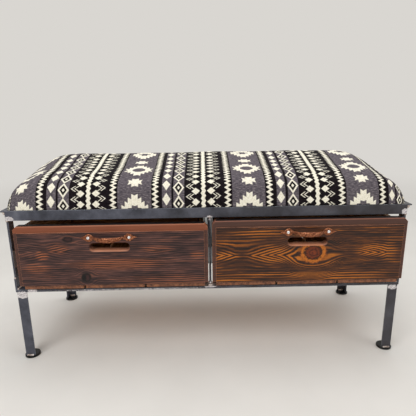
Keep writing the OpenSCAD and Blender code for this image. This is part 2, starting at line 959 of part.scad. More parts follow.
module seat_form(shrink) {
    base = rail_top + shrink;
    hy = seat_hy - shrink;
    low = crown_h * 0.06;
    floor_ring = [for (p = seat_outline(tuck, shrink)) [p[0], p[1] + mid_y, base]];
    shoulder = [for (p = seat_outline(0, shrink)) [p[0], p[1] + mid_y, base + low]];
    crown_rings = [
        for (k = [1:len(ring_insets) - 1])
            [for (p = seat_outline(ring_insets[k] * hy, shrink))
                [p[0], p[1] + mid_y, base + max(seat_height(p[0], p[1], shrink), low + 1)]]
    ];
    rings = concat([floor_ring, shoulder], crown_rings);
    m = len(floor_ring);
    points = [for (r = rings) each r];
    walls = [
        for (i = [0:len(rings) - 2], j = [0:m - 1])
            let (a = i * m + j, b = i * m + (j + 1) % m)
            each [[a, b + m, b], [a, a + m, b + m]]
    ];
    top = (len(rings) - 1) * m;
    polyhedron(points, concat(flipped(strip(0, m)), walls, strip(top, m)));
}

module seat_board_block(z0, h) {
    hx = seat_hx - cover_t - board_play;
    hy = seat_hy - cover_t - board_play;
    translate([0, mid_y, z0]) linear_extrude(h) {
        square([2 * (hx - seat_corner_r), 2 * hy], center = true);
        square([2 * hx, 2 * (hy - seat_corner_r)], center = true);
        for (sx = [-1, 1], sy = [-1, 1])
            translate([sx * (hx - seat_corner_r), sy * (hy - seat_corner_r)])
                circle(r = seat_corner_r, $fn = FINE);
    }
}

module at_seat_screws() {
    for (x = seat_screw_x, back = [false, true])
        at_back(back) translate([x, face_y + seat_screw_y, rail_top - angle_t])
            mirror([0, 0, 1]) children();
}

seat_screw_l = angle_t + cover_t + seat_board_t * 0.75;

module seat_screw_holes(sides = FINE) {
    at_seat_screws() mirror([0, 0, 1])
        cylinder(r = seat_screw_r + hole_fit, h = seat_screw_l + hole_fit, $fn = sides);
}

module seat_board() {
    color("tan") difference() {
        seat_board_block(rail_top + cover_t, seat_board_t);
        seat_screw_holes();
    }
}

foam_play = 0.3;
// Sides of a screw's hole through the cloth
CLOTH_HOLE_SIDES = 16;

module seat_foam() {
    board_top = rail_top + cover_t + seat_board_t;
    color("khaki") difference() {
        seat_form(cover_t + foam_play);
        translate([-bench_w / 2, face_y, rail_top]) cube([bench_w, bench_d, board_top - rail_top]);
    }
}

module seat_cover() {
    color("dimgray") difference() {
        seat_form(0);
        seat_form(cover_t);
        translate([cover_fold - seat_hx, mid_y + cover_fold - seat_hy, rail_top - through])
            cube([2 * (seat_hx - cover_fold), 2 * (seat_hy - cover_fold), cover_t + 2 * through]);
        seat_screw_holes(CLOTH_HOLE_SIDES);
    }
}

module seat_screws() {
    color("gray") at_seat_screws() pan_screw(seat_screw_r, seat_screw_l);
}

front_top_rail();
back_top_rail();
left_top_rail();
right_top_rail();
front_left_post();
front_right_post();
back_left_post();
back_right_post();
front_divider();
back_divider();
front_lower_rail();
back_lower_rail();
left_lower_bar();
right_lower_bar();
front_left_leg();
front_right_leg();
back_left_leg();
back_right_leg();
foot_discs();
foot_pads();
weld_beads();
packing_strip();
seat_board();
seat_foam();
seat_cover();
seat_screws();
left_outer_slides();
right_outer_slides();
outer_slide_screws();
left_middle_slides();
right_middle_slides();
left_outer_cages();
right_outer_cages();
left_inner_cages();
right_inner_cages();
left_front();
left_box_left_side();
left_box_right_side();
box_back(LEFT);  // left_box_back
bottom_boards(LEFT);  // left_bottom_boards
pull(LEFT);  // left_pull
pull_screws(LEFT);  // left_pull_screws
inner_slides(LEFT);  // left_inner_slides
inner_slide_screws(LEFT);  // left_inner_slide_screws
right_front();
right_box_left_side();
right_box_right_side();
box_back(RIGHT);  // right_box_back
bottom_boards(RIGHT);  // right_bottom_boards
pull(RIGHT);  // right_pull
pull_screws(RIGHT);  // right_pull_screws
inner_slides(RIGHT);  // right_inner_slides
inner_slide_screws(RIGHT);  // right_inner_slide_screws
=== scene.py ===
"""Industrial bench: welded angle frame, two stained pine drawers on ball slides, woven cushion."""

import json
import math

import bmesh
import bpy
import numpy as np
from mathutils import Matrix, Vector, noise
from mathutils.bvhtree import BVHTree


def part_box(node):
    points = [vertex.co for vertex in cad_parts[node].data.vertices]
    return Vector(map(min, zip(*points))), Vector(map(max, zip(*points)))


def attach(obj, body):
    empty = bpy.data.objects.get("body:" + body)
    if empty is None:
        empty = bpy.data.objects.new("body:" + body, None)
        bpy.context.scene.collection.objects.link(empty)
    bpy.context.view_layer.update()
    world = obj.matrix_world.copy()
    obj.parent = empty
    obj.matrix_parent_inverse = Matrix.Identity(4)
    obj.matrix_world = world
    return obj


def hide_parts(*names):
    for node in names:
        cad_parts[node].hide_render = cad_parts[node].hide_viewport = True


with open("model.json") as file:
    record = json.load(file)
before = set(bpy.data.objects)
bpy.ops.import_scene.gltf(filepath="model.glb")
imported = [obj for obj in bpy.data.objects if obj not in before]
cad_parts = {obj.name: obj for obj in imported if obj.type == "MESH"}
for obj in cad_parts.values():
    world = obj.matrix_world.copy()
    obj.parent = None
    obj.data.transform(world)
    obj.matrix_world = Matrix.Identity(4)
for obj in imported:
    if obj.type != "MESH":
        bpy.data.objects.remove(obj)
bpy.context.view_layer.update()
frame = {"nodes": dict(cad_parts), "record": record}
nodes = frame["nodes"]
MM = 0.001
# the photo is 416 pixels wide, and its lens fits at 380 of them; the sensor is 36 mm wide
PICTURE_PIXELS, LENS_PIXELS, SENSOR = 416, 380, 36.0
# the surround's colour, and half of the floor's length in metres
PALE, FLOOR_HALF = "#D9D6D1", 30
# where the floor starts to fade into the surround and where it has faded, in mm from its middle
FLOOR_FADE = (700.0, 3600.0)


# Small helpers

def colour(text):
    """Turns an sRGB hex value into the linear colour that a shader takes."""
    parts = [int(text[i:i + 2], 16) / 255 for i in (1, 3, 5)]
    return [c / 12.92 if c <= 0.04045 else ((c + 0.055) / 1.055) ** 2.4 for c in parts] + [1.0]


def add(tree, kind, inputs=(), stops=None, **settings):
    """Adds a node, a shader's where its kind does not say more. Inputs go by name, or in their order.

    An input is a value, a hex colour, a node or one of its sockets; stops fill a ramp.
    """
    node = tree.nodes.new(kind if "Node" in kind else "ShaderNode" + kind)
    for key, value in settings.items():
        setattr(node, key, value)
    for key, value in inputs.items() if isinstance(inputs, dict) else enumerate(inputs):
        by_name = isinstance(key, str)
        socket = next(s for s in node.inputs if s.name == key and s.enabled) if by_name else node.inputs[key]
        if isinstance(value, bpy.types.Node):
            value = next(s for s in value.outputs if s.enabled)
        if isinstance(value, bpy.types.NodeSocket):
            tree.links.new(value, socket)
        else:
            hexed = isinstance(value, str) and value.startswith("#")
            socket.default_value = colour(value) if hexed else value
    for _ in (stops or ())[2:]:
        node.color_ramp.elements.new(0.5)
    for element, (place, shade) in zip(node.color_ramp.elements if stops else (), stops or ()):
        element.position = place
        element.color = colour(shade) if isinstance(shade, str) else (shade, shade, shade, 1)
    return node


def new_finish(name, **constants):
    """A material with its shader, and the place on the piece in millimetres."""
    material = bpy.data.materials.new(name)
    material.use_nodes = True
    tree = material.node_tree
    tree.nodes.clear()
    shader = add(tree, "BsdfPrincipled")
    for key, value in constants.items():
        key = key.replace("_", " ")
        shader.inputs[key].default_value = colour(value) if isinstance(value, str) else value
    add(tree, "OutputMaterial", {"Surface": shader})
    here = add(tree, "VectorMath", {"Vector": add(tree, "TexCoord").outputs["Object"], "Scale": 1 / MM},
               operation="SCALE")
    return material, tree, shader, here


def join(tree, shader, **parts):
    """Links finished parts to the shader's sockets."""
    for key, value in parts.items():
        value = next(s for s in value.outputs if s.enabled) if isinstance(value, bpy.types.Node) else value
        tree.links.new(value, shader.inputs[key.replace("_", " ")])


def reckon(tree, known, rows):
    """Arithmetic in a material: each row names a result, an operation, and its numbers or earlier names."""
    for name, operation, *parts in rows:
        inputs = {place: known[part] if isinstance(part, str) else part for place, part in enumerate(parts)}
        known[name] = add(tree, "Math", inputs, operation=operation)
    return known


def over(tree, shade, *layers):
    """Lays colours over a shade in turn; each layer is how much of it shows, and its colour."""
    for share, top in layers:
        shade = add(tree, "Mix", {"Factor": share, "A": shade, "B": top}, data_type="RGBA")
    return shade


def spot(tree, here, x, z, long, high):
    """A soft oval on the front, 1 at its middle, with its half sizes in mm; and the distance in those sizes."""
    off = add(tree, "VectorMath", (here, (x, 0, z)), operation="SUBTRACT")
    size = add(tree, "VectorMath", (off, (1 / long, 0, 1 / high)), operation="MULTIPLY")
    far = add(tree, "VectorMath", (size,), operation="LENGTH").outputs["Value"]
    return add(tree, "MapRange", (far, 1.35, 0.45), interpolation_type="SMOOTHSTEP"), far


def worn_and_lit_edges(tree, radius, grain):
    """1 along the outer edges, broken up by grain, where they are painted lighter as wear and as a painted highlight;
    and the rounded normal that catches the light there.
    """
    rounded = add(tree, "Bevel", {"Radius": radius * MM}, samples=6)
    flat = add(tree, "NewGeometry").outputs["Normal"]
    turn = add(tree, "VectorMath", (rounded, flat), operation="DOT_PRODUCT").outputs["Value"]
    rub_and_highlight = add(tree, "MapRange", (add(tree, "Math", (1.0, turn), operation="SUBTRACT"), 0.01, 0.12))
    broken = add(tree, "MapRange", (grain, 0.35, 0.6))
    return add(tree, "Math", (rub_and_highlight, broken), operation="MULTIPLY"), rounded


def new_piece(name, mesh, body, slot, *finishes):
    """Puts a finished mesh in the scene, riding on its body."""
    piece = bpy.data.objects.new(name, mesh)
    bpy.context.scene.collection.objects.link(piece)
    mesh.materials.clear()
    for finish in finishes:
        mesh.materials.append(finish)
    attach(piece, body)
    return piece


# steps that mend a mesh: doubles merged, slivers taken out, holes closed, faces turned outwards
MENDS = {
    "merge": lambda soup: bmesh.ops.remove_doubles(soup, verts=soup.verts, dist=1e-6),
    "thin": lambda soup: bmesh.ops.dissolve_degenerate(soup, edges=soup.edges, dist=1e-6),
    "close": lambda soup: bmesh.ops.holes_fill(soup, edges=[e for e in soup.edges if e.is_boundary], sides=0),
    "outwards": lambda soup: bmesh.ops.recalc_face_normals(soup, faces=soup.faces),
}


def mended(mesh, *steps, source=None, smooth=True):
    """The mesh after the named steps, made from itself or from another mesh, shaded smooth or flat."""
    soup = bmesh.new()
    soup.from_mesh(source or mesh)
    for step in steps:
        MENDS[step](soup)
    soup.to_mesh(mesh)
    soup.free()
    mesh.polygons.foreach_set("use_smooth", [smooth] * len(mesh.polygons))
    return mesh


def mesh_of(name, points, faces, smooth=True):
    """A mesh from points in metres and faces, with its normals turned outwards."""
    mesh = bpy.data.meshes.new(name)
    mesh.from_pydata([tuple(p) for p in points], [], [tuple(int(i) for i in f) for f in faces])
    return mended(mesh, "merge", "outwards", smooth=smooth)


def baked(maker, name):
    """The evaluated mesh of an object with modifiers, after which the object is deleted."""
    bpy.context.view_layer.update()
    graph = bpy.context.evaluated_depsgraph_get()
    mesh = bpy.data.meshes.new_from_object(maker.evaluated_get(graph), depsgraph=graph)
    mesh.name = name
    bpy.data.objects.remove(maker, do_unlink=True)
    return mesh


def loose_object(name, mesh):
    """An object that only carries modifiers for a while."""
    maker = bpy.data.objects.new(name, mesh)
    bpy.context.scene.collection.objects.link(maker)
    return maker


def merged_copy(node):
    """The mesh of a CAD node with its loose triangles joined."""
    return mended(bpy.data.meshes.new(node + "_copy"), "merge", source=nodes[node].data)


# Camera, light and floor

def set_camera():
    """Stands where the photographer's lens stood: a little left of the middle, looking down 14 degrees."""
    lens = bpy.data.cameras.new("camera")
    lens.sensor_width = SENSOR
    lens.lens = LENS_PIXELS / PICTURE_PIXELS * SENSOR
    eye = bpy.data.objects.new("camera", lens)
    right = Vector((0.99973, -0.01881, -0.01346))
    up = Vector((0.01763, 0.24326, 0.96980))
    back = Vector((-0.01496, -0.96978, 0.24353))
    face_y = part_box("front_top_rail")[0][1]
    place = Matrix.Translation((-0.0131, face_y - 0.9268, 0.6488))
    eye.matrix_world = place @ Matrix((right, up, back)).transposed().to_4x4()
    bpy.context.scene.collection.objects.link(eye)
    bpy.context.scene.camera = eye


def softbox(name, place, aim, size, power):
    """A square area lamp that faces a point."""
    lamp = bpy.data.lights.new(name, "AREA")
    lamp.shape, lamp.size, lamp.energy = "SQUARE", size, power
    box = bpy.data.objects.new(name, lamp)
    box.location = place
    box.rotation_euler = (Vector(aim) - Vector(place)).to_track_quat("-Z", "Y").to_euler()
    bpy.context.scene.collection.objects.link(box)


def looked_at(tree):
    """1 where the camera or a glossy reflection looks straight at this, 0 for the light that it gives."""
    path = add(tree, "LightPath").outputs
    return add(tree, "Math", (path["Is Camera Ray"], path["Is Glossy Ray"]), operation="MAXIMUM")


def set_studio():
    """A plain pale floor under soft light, and a pale surround for the camera and for reflections."""
    softbox("key_light", (-0.9, -1.7, 2.3), (0, 0, 0.3), 1.6, 34)
    softbox("overhead_light", (0.3, 0.5, 2.5), (0, 0, 0.4), 2.0, 26)
    softbox("side_light", (2.2, -1.5, 1.3), (0, 0, 0.3), 1.6, 12)
    world = bpy.data.worlds.new("studio")
    world.use_nodes = True
    tree = world.node_tree
    tree.nodes.clear()
    lit = add(tree, "Background", {"Color": "#F2F1EE", "Strength": 0.50})
    pale = add(tree, "Background", {"Color": PALE, "Strength": 1.0})
    add(tree, "OutputWorld", {"Surface": add(tree, "MixShader", (looked_at(tree), lit, pale))})
    bpy.context.scene.world = world
    corners = [(-FLOOR_HALF, -FLOOR_HALF, 0), (FLOOR_HALF, -FLOOR_HALF, 0),
               (FLOOR_HALF, FLOOR_HALF, 0), (-FLOOR_HALF, FLOOR_HALF, 0)]
    mesh = mesh_of("floor", corners, [(0, 1, 2, 3)], False)
    floor = loose_object("floor", mesh)
    finish, tree, shader, here = new_finish("painted_floor", Roughness=0.75)
    cloud = add(tree, "TexNoise", {"Vector": here, "Scale": 0.004, "Detail": 3.0})
    join(tree, shader, Base_Color=add(tree, "ValToRGB", (cloud,), stops=[(0.3, "#E2DFDA"), (0.7, "#E9E6E1")]))
    # far off, the floor takes the colour of the surround, so that no horizon shows
    away = add(tree, "VectorMath", (here,), operation="LENGTH").outputs["Value"]
    fade = add(tree, "MapRange", (away, *FLOOR_FADE), interpolation_type="SMOOTHSTEP")
    fade = add(tree, "Math", (fade, looked_at(tree)), operation="MULTIPLY")
    glow = add(tree, "Emission", {"Color": PALE})
    out = next(node for node in tree.nodes if node.type == "OUTPUT_MATERIAL")
    tree.links.new(add(tree, "MixShader", (fade, shader, glow)).outputs[0], out.inputs["Surface"])
    mesh.materials.append(finish)
    bpy.context.scene.view_settings.view_transform = "Standard"


# Finishes

# shades from a knot's heart out to the wood round it
BIG_KNOT = [(0.0, "#3A170E"), (0.26, "#4A1C0F"), (0.36, "#7E3514"), (0.44, "#37150D"), (0.54, "#74300F"),
            (0.68, "#1A0C08"), (0.80, "#C06C20"), (0.97, "#5A2C16")]
SMALL_KNOT = [(0.0, "#3E2220"), (0.50, "#331B1B"), (0.72, "#140A0A"), (0.92, "#33201C")]


def waxed_steel(bright_ovals):
    """Hot-rolled mild steel under wax: blue-grey mill scale, brown in patches, rubbed bright at the edges, whose light
    line is also a painted highlight.

    Where the flap disc went over it, it is clean bright metal; one long oval is a painted highlight instead. The ovals
    are x, z, half sizes in mm, and how much shows.
    """
    finish, tree, shader, here = new_finish("waxed_mill_scale_steel")
    patch = add(tree, "TexNoise", {"Vector": here, "Scale": 0.014, "Detail": 5.0, "Roughness": 0.62})
    # rolled scale breaks up in specks of about 3 mm
    speck = add(tree, "TexNoise", {"Vector": here, "Scale": 0.33, "Detail": 4.0})
    scale = add(tree, "ValToRGB", (patch,),
                stops=[(0.30, "#2C2D35"), (0.44, "#43454F"), (0.58, "#5A5C68"), (0.76, "#777A84")])
    rust = add(tree, "TexNoise", {"Vector": here, "Scale": 0.012, "Detail": 6.0})
    rust = add(tree, "MapRange", (rust, 0.60, 0.74, 0.0, 0.7))
    # darker and browner towards the right end
    place = add(tree, "SeparateXYZ", (here,)).outputs
    along = add(tree, "MapRange", (place["X"], -250.0, 450.0, 0.0, 0.55))
    # the light edge colour is wear and also a painted highlight along the edges
    rub_and_highlight, rounded = worn_and_lit_edges(tree, 1.2, speck)
    body = over(tree, scale, (rust, "#4E3A34"), (along, "#39322F"), (rub_and_highlight, "#AEB4BC"))
    bare_and_lit = 0.0
    for x, z, long, high, share in bright_ovals:
        oval = add(tree, "Math", (spot(tree, here, x, z, long, high)[0], share), operation="MULTIPLY")
        bare_and_lit = add(tree, "Math", (oval, bare_and_lit), operation="MAXIMUM")
    # the bright ovals show only within 20 mm of the frame's front and back
    front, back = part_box("front_top_rail")[0][1] / MM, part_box("back_top_rail")[1][1] / MM
    half = (back - front) / 2
    depth = reckon(tree, {"y": place["Y"]}, [("depth", "SUBTRACT", "y", (front + back) / 2),
                                             ("depth", "ABSOLUTE", "depth")])["depth"]
    outer = add(tree, "MapRange", (depth, half - 26, half - 14))
    bare_and_lit = reckon(tree, {"bare_and_lit": bare_and_lit, "outer": outer, "speck": speck}, [
        ("bare_and_lit", "MULTIPLY", "bare_and_lit", "outer"), ("edge", "MULTIPLY_ADD", "speck", 1.1, -0.62),
        ("bare_and_lit", "ADD", "bare_and_lit", "edge")])["bare_and_lit"]
    bare_and_lit = add(tree, "MapRange", (bare_and_lit, 0.25, 0.55))
    # grinding lines are under 1 mm apart
    grit = add(tree, "VectorMath", (here, (0.25, 1.0, 1.1)), operation="MULTIPLY")
    grit = add(tree, "TexNoise", {"Vector": grit, "Scale": 1.0, "Detail": 3.0})
    bright = add(tree, "ValToRGB", (grit,), stops=[(0.34, "#8F8A92"), (0.5, "#D5D0D2"), (0.66, "#F6F3F2")])
    join(tree, shader, Base_Color=over(tree, body, (bare_and_lit, bright)),
         Roughness=add(tree, "MapRange", (speck, 0.3, 0.7, 0.34, 0.55)),
         Metallic=add(tree, "MapRange", (bare_and_lit, 0.0, 1.0, 0.45, 0.8)),
         Normal=add(tree, "Bump", {"Height": speck, "Strength": 0.12, "Distance": 0.0004, "Normal": rounded}))
    return finish


def ground_weld():
    """Weld metal after the flap disc: bright, burnt straw and pink in the heat marks, with ripples."""
    finish, tree, shader, here = new_finish("ground_weld_metal", Metallic=0.8)
    heat = add(tree, "TexNoise", {"Vector": here, "Scale": 0.16, "Detail": 4.0})
    tint = add(tree, "ValToRGB", (heat,), stops=[
        (0.30, "#5E524C"), (0.42, "#A8968C"), (0.54, "#D8CBC4"), (0.70, "#F2ECE8")])
    grit = add(tree, "TexNoise", {"Vector": here, "Scale": 1.4, "Detail": 3.0})
    rough = add(tree, "MapRange", (grit, 0.0, 1.0, 0.28, 0.6))
    bump = add(tree, "Bump", {"Height": grit, "Strength": 0.35, "Distance": 0.0005})
    join(tree, shader, Base_Color=tint, Roughness=rough, Normal=bump)
    return finish


def black_enamel():
    """Brushed-on gloss enamel over the feet: deep black with soft brush lines and hard glints."""
    finish, tree, shader, here = new_finish("gloss_black_enamel", Roughness=0.2, IOR=1.45, Specular_IOR_Level=0.25)
    flow = add(tree, "TexNoise", {"Vector": here, "Scale": 0.25, "Detail": 3.0})
    join(tree, shader, Base_Color=add(tree, "ValToRGB", (flow,), stops=[(0.3, "#070708"), (0.7, "#131315")]),
         Normal=add(tree, "Bump", {"Height": flow, "Strength": 0.3, "Distance": 0.0006,
                                   "Normal": add(tree, "Bevel", {"Radius": 0.8 * MM})}))
    return finish


def pale_soft(name):
    """Pressed felt under the feet, or open foam: pale, matt and slightly hairy."""
    finish, tree, shader, here = new_finish(name, Roughness=0.95, Sheen_Weight=0.4)
    hair = add(tree, "TexNoise", {"Vector": here, "Scale": 1.1, "Detail": 5.0})
    join(tree, shader, Base_Color=add(tree, "ValToRGB", (hair,), stops=[(0.3, "#D2CEC8"), (0.7, "#EFECE6")]),
         Normal=add(tree, "Bump", {"Height": hair, "Strength": 0.5, "Distance": 0.0008}))
    return finish


def zinc_plate(name, tones, rough, specks):
    """Bright zinc on steel: cool and clean, with the faint cloud and fine lines of the rolled strip."""
    finish, tree, shader, here = new_finish(name, Metallic=1.0)
    along = add(tree, "VectorMath", (here, (0.6, 0.02, 0.6)), operation="MULTIPLY")
    line = add(tree, "TexNoise", {"Vector": along, "Scale": specks, "Detail": 3.0})
    cloud = add(tree, "TexNoise", {"Vector": here, "Scale": 0.08, "Detail": 3.0})
    tone = add(tree, "MapRange", (add(tree, "Math", (line, cloud), operation="ADD"), 0.7, 1.3))
    join(tree, shader, Base_Color=over(tree, tones[0], (tone, tones[1])),
         Roughness=add(tree, "MapRange", (tone, 0.0, 1.0, *rough)),
         Normal=add(tree, "Bump", {"Height": line, "Strength": 0.15, "Distance": 0.0002,
                                   "Normal": add(tree, "Bevel", {"Radius": 0.35 * MM})}))
    return finish


def forged_iron():
    """Hammered iron that was rusted brown and oiled: copper-brown high spots, near-black hollows."""
    finish, tree, shader, here = new_finish("hammered_rust_brown_iron", Metallic=0.7)
    # hammer marks are 4 to 6 mm across
    dent = add(tree, "TexVoronoi", {"Vector": here, "Scale": 0.2}, feature="SMOOTH_F1").outputs["Distance"]
    rust = add(tree, "TexNoise", {"Vector": here, "Scale": 0.28, "Detail": 6.0, "Roughness": 0.65})
    tint = add(tree, "ValToRGB", (rust,), stops=[
        (0.28, "#2C1813"), (0.41, "#623523"), (0.52, "#915637"), (0.64, "#BF835E"), (0.8, "#E8C2A8")])
    # the pale edge colour is wear and also a painted highlight
    rub_and_highlight, rounded = worn_and_lit_edges(tree, 0.7, rust)
    join(tree, shader, Base_Color=over(tree, tint, (rub_and_highlight, "#D9B9A2")),
         Roughness=add(tree, "MapRange", (rust, 0.0, 1.0, 0.32, 0.62)),
         Normal=add(tree, "Bump", {"Height": dent, "Strength": 0.5, "Distance": 0.001, "Normal": rounded}))
    return finish


def ring_lines(tree, here, heart, drift, points, knots):
    """Place across the rings of a plain-sawn board, in mm from its heart line, which runs along X.

    Points are x0, x1 and how many mm the rings close in between; a knot is x, z, half sizes and its push.
    """
    split = add(tree, "SeparateXYZ", (here,)).outputs
    slow = add(tree, "VectorMath", (here, (0.0045, 0.02, 0.016)), operation="MULTIPLY")
    wander = add(tree, "TexNoise", {"Vector": slow, "Scale": 1.0, "Detail": 3.0, "Roughness": 0.55})
    known = reckon(tree, {"wander": wander, "z": split["Z"]}, [("height", "MULTIPLY_ADD", "wander", drift, "z")])
    for x, z, long, high, push in knots:
        known["near"] = spot(tree, here, x, z, long * 2.3, high * 2.3)[0]
        reckon(tree, known, [("lift", "SUBTRACT", "z", z), ("lift", "MULTIPLY", "lift", "near"),
                             ("height", "MULTIPLY_ADD", "lift", -push, "height")])
    away = reckon(tree, known, [("away", "SUBTRACT", "height", heart + drift / 2),
                                ("away", "ABSOLUTE", "away")])["away"]
    close = add(tree, "MapRange", (away, 46.0, 4.0), interpolation_type="SMOOTHSTEP")
    for x0, x1, rise in points:
        run = add(tree, "MapRange", (split["X"], x0, x1, 0.0, rise))
        away = add(tree, "Math", (run, close, away), operation="MULTIPLY_ADD")
    return away, split


def fibre(tree, here, length, width, detail=4.0):
    """Fine streaks along X, as long and as wide as given in mm."""
    thin = add(tree, "VectorMath", (here, (1 / length, 1 / width, 1 / width)), operation="MULTIPLY")
    return add(tree, "TexNoise", {"Vector": thin, "Scale": 1.0, "Detail": detail, "Roughness": 0.6})


def facing_up(tree, up, where, least, gain, most):
    """How far a face looks up beyond the least, times a gain, up to the most, and only where it counts."""
    return reckon(tree, {"up": up, "where": where}, [
        ("part", "SUBTRACT", "up", least), ("part", "MULTIPLY", "part", gain), ("part", "MINIMUM", "part", most),
        ("part", "MULTIPLY", "part", "where"), ("part", "MAXIMUM", "part", 0.0)])["part"]


def front_pine(name, tones, glow_tones, rings, glows, share, band_and_lit_edge_tones, box, slot_at):
    """Knotty pine, stained near black and sanded back: dark rings, and soft wood that glows orange in places.

    Glows are x, z, half sizes and strength of the places sanded through; share is how much shows elsewhere.
    """
    finish, tree, shader, here = new_finish(name, Specular_IOR_Level=0.3, IOR=1.5)
    heart, pitch, drift, points, knots = rings
    field, split = ring_lines(tree, here, heart, drift, points, knots)
    streak = fibre(tree, here, 40.0, 1.5)
    cloud = fibre(tree, here, 110.0, 16.0, 3.0)
    by_ring = add(tree, "Math", (field, 0.8 / pitch), operation="MULTIPLY")
    uneven = add(tree, "TexNoise", {"W": by_ring, "Scale": 1.0, "Detail": 2.0}, noise_dimensions="1D")
    known = reckon(tree, {"field": field, "streak": streak, "cloud": cloud, "uneven": uneven}, [
        ("phase", "MULTIPLY", "field", 2 * math.pi / pitch),
        ("phase", "MULTIPLY_ADD", "uneven", 2.6, "phase"),
        ("ring", "SINE", "phase"),
        ("grain", "MULTIPLY_ADD", "ring", 0.09, "streak"),
        ("grain", "MULTIPLY_ADD", "cloud", 0.7, "grain"),
        ("line", "MULTIPLY_ADD", "streak", 2.0, "ring"),
    ])
    tint = add(tree, "ValToRGB", (add(tree, "MapRange", (known["grain"], 0.55, 1.15)),), stops=tones)
    glow = add(tree, "MapRange", (fibre(tree, here, 70.0, 10.0, 3.0), 0.50, 0.72, 0.0, share))
    for x, z, long, high, strength in glows:
        glow = add(tree, "Math", (spot(tree, here, x, z, long, high)[0], strength, glow), operation="MULTIPLY_ADD")
    line = add(tree, "MapRange", (known["line"], 1.05, 1.65), interpolation_type="SMOOTHSTEP")
    lit = add(tree, "Math", (glow, line), operation="MULTIPLY", use_clamp=True)
    layers = [(lit, over(tree, glow_tones[0], (cloud, glow_tones[1])))]
    wobble = add(tree, "TexNoise", {"Vector": here, "Scale": 0.17, "Detail": 6.0, "Roughness": 0.65})
    for x, z, long, high, _ in knots:
        far = add(tree, "Math", (wobble, 0.8, spot(tree, here, x, z, long, high)[1]), operation="MULTIPLY_ADD")
        heart_wood = add(tree, "ValToRGB", (add(tree, "MapRange", (far, 0.0, 1.6)),),
                         stops=BIG_KNOT if long > 20 else SMALL_KNOT)
        layers.append((add(tree, "MapRange", (far, 1.66, 1.36)), heart_wood))
        # a loose knot shrank away from the wood at its left, and that gap is painted near black as painted shade
        if long < 12:
            layers.append((spot(tree, here, x - long * 0.7, z, long * 0.62, high * 0.85)[0], "#080404"))
    # the border stands back from the raised field and kept more of the stain; the band along the top has tones of its
    # own
    face, top = box[0][1] / MM, box[1][2] / MM
    plum = over(tree, "#33211E", (streak, "#6A4438"))
    strip = over(tree, band_and_lit_edge_tones[0], (streak, band_and_lit_edge_tones[1]))
    # the pale edge colour is wear and also a painted highlight
    rub_and_highlight, rounded = worn_and_lit_edges(tree, 1.5, streak)
    layers += [(add(tree, "MapRange", (split["Y"], face + 1.4, face + 1.8, 0.0, 0.8)), plum),
               (add(tree, "MapRange", (split["Z"], top - 18.5, top - 16.5, 0.0, 0.9)), strip), (rub_and_highlight, "#C98662")]
    # painted highlight on the rounded upper edge and on the slot's lower lip, where they face up to the light, and
    # painted shade, near black, on the flat top face, which lies in the rail's shadow
    up = add(tree, "SeparateXYZ", (add(tree, "NewGeometry").outputs["Normal"],)).outputs["Z"]
    at_top = add(tree, "MapRange", (split["Z"], top - 9, top - 7))
    by_slot = spot(tree, here, *slot_at, 52.0, 14.0)[0]
    painted_top_shade = add(tree, "Math", (add(tree, "MapRange", (up, 0.86, 0.95)), at_top), operation="MULTIPLY")
    layers += [(facing_up(tree, up, at_top, 0.25, 2.5, 0.75), band_and_lit_edge_tones[2]),
               (facing_up(tree, up, by_slot, 0.15, 3.0, 0.85), "#CE8A68"), (painted_top_shade, "#100B0C")]
    join(tree, shader, Base_Color=over(tree, tint, *layers),
         Roughness=add(tree, "MapRange", (known["ring"], -1.0, 1.0, 0.36, 0.55)),
         Normal=add(tree, "Bump", {"Height": known["grain"], "Strength": 0.35, "Distance": 0.0008, "Normal": rounded}))
    return finish


def board_wood(name, tones, rough=0.62, axis="Y", front_tones=None):
    """Sawn board: straight grain along its length, open and dry.

    The front tones are those of the ends that show under the drawer fronts.
    """
    finish, tree, shader, here = new_finish(name)
    stretch = {"X": (0.012, 0.4, 0.4), "Y": (0.4, 0.012, 0.4)}[axis]
    fine = add(tree, "VectorMath", (here, stretch), operation="MULTIPLY")
    line = add(tree, "TexNoise", {"Vector": fine, "Scale": 1.6, "Detail": 5.0, "Roughness": 0.62})
    wide = add(tree, "TexNoise", {"Vector": fine, "Scale": 0.3, "Detail": 3.0})
    both = add(tree, "Math", (wide, 0.8, line), operation="MULTIPLY_ADD")
    both = add(tree, "MapRange", (both, 0.6, 1.25))
    # the pale edge colour is wear and also a painted highlight
    rub_and_highlight, rounded = worn_and_lit_edges(tree, 0.8, line)
    layers = [(rub_and_highlight, "#B07E56")]
    if front_tones:
        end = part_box("left_front")[1][1] / MM
        depth = add(tree, "SeparateXYZ", (here,)).outputs["Y"]
        layers.insert(0, (add(tree, "MapRange", (depth, end + 1.0, end)),
                          add(tree, "ValToRGB", (both,), stops=front_tones)))
    join(tree, shader, Base_Color=over(tree, add(tree, "ValToRGB", (both,), stops=tones), *layers),
         Roughness=add(tree, "MapRange", (line, 0.0, 1.0, rough - 0.1, rough + 0.15)),
         Normal=add(tree, "Bump", {"Height": line, "Strength": 0.35, "Distance": 0.0006, "Normal": rounded}))
    return finish


# lengths of the cloth in mm that its UV map stands for, and how far its pattern repeats along the seat
CLOTH_SIZE, REPEAT = (1300.0, 700.0), 288.5
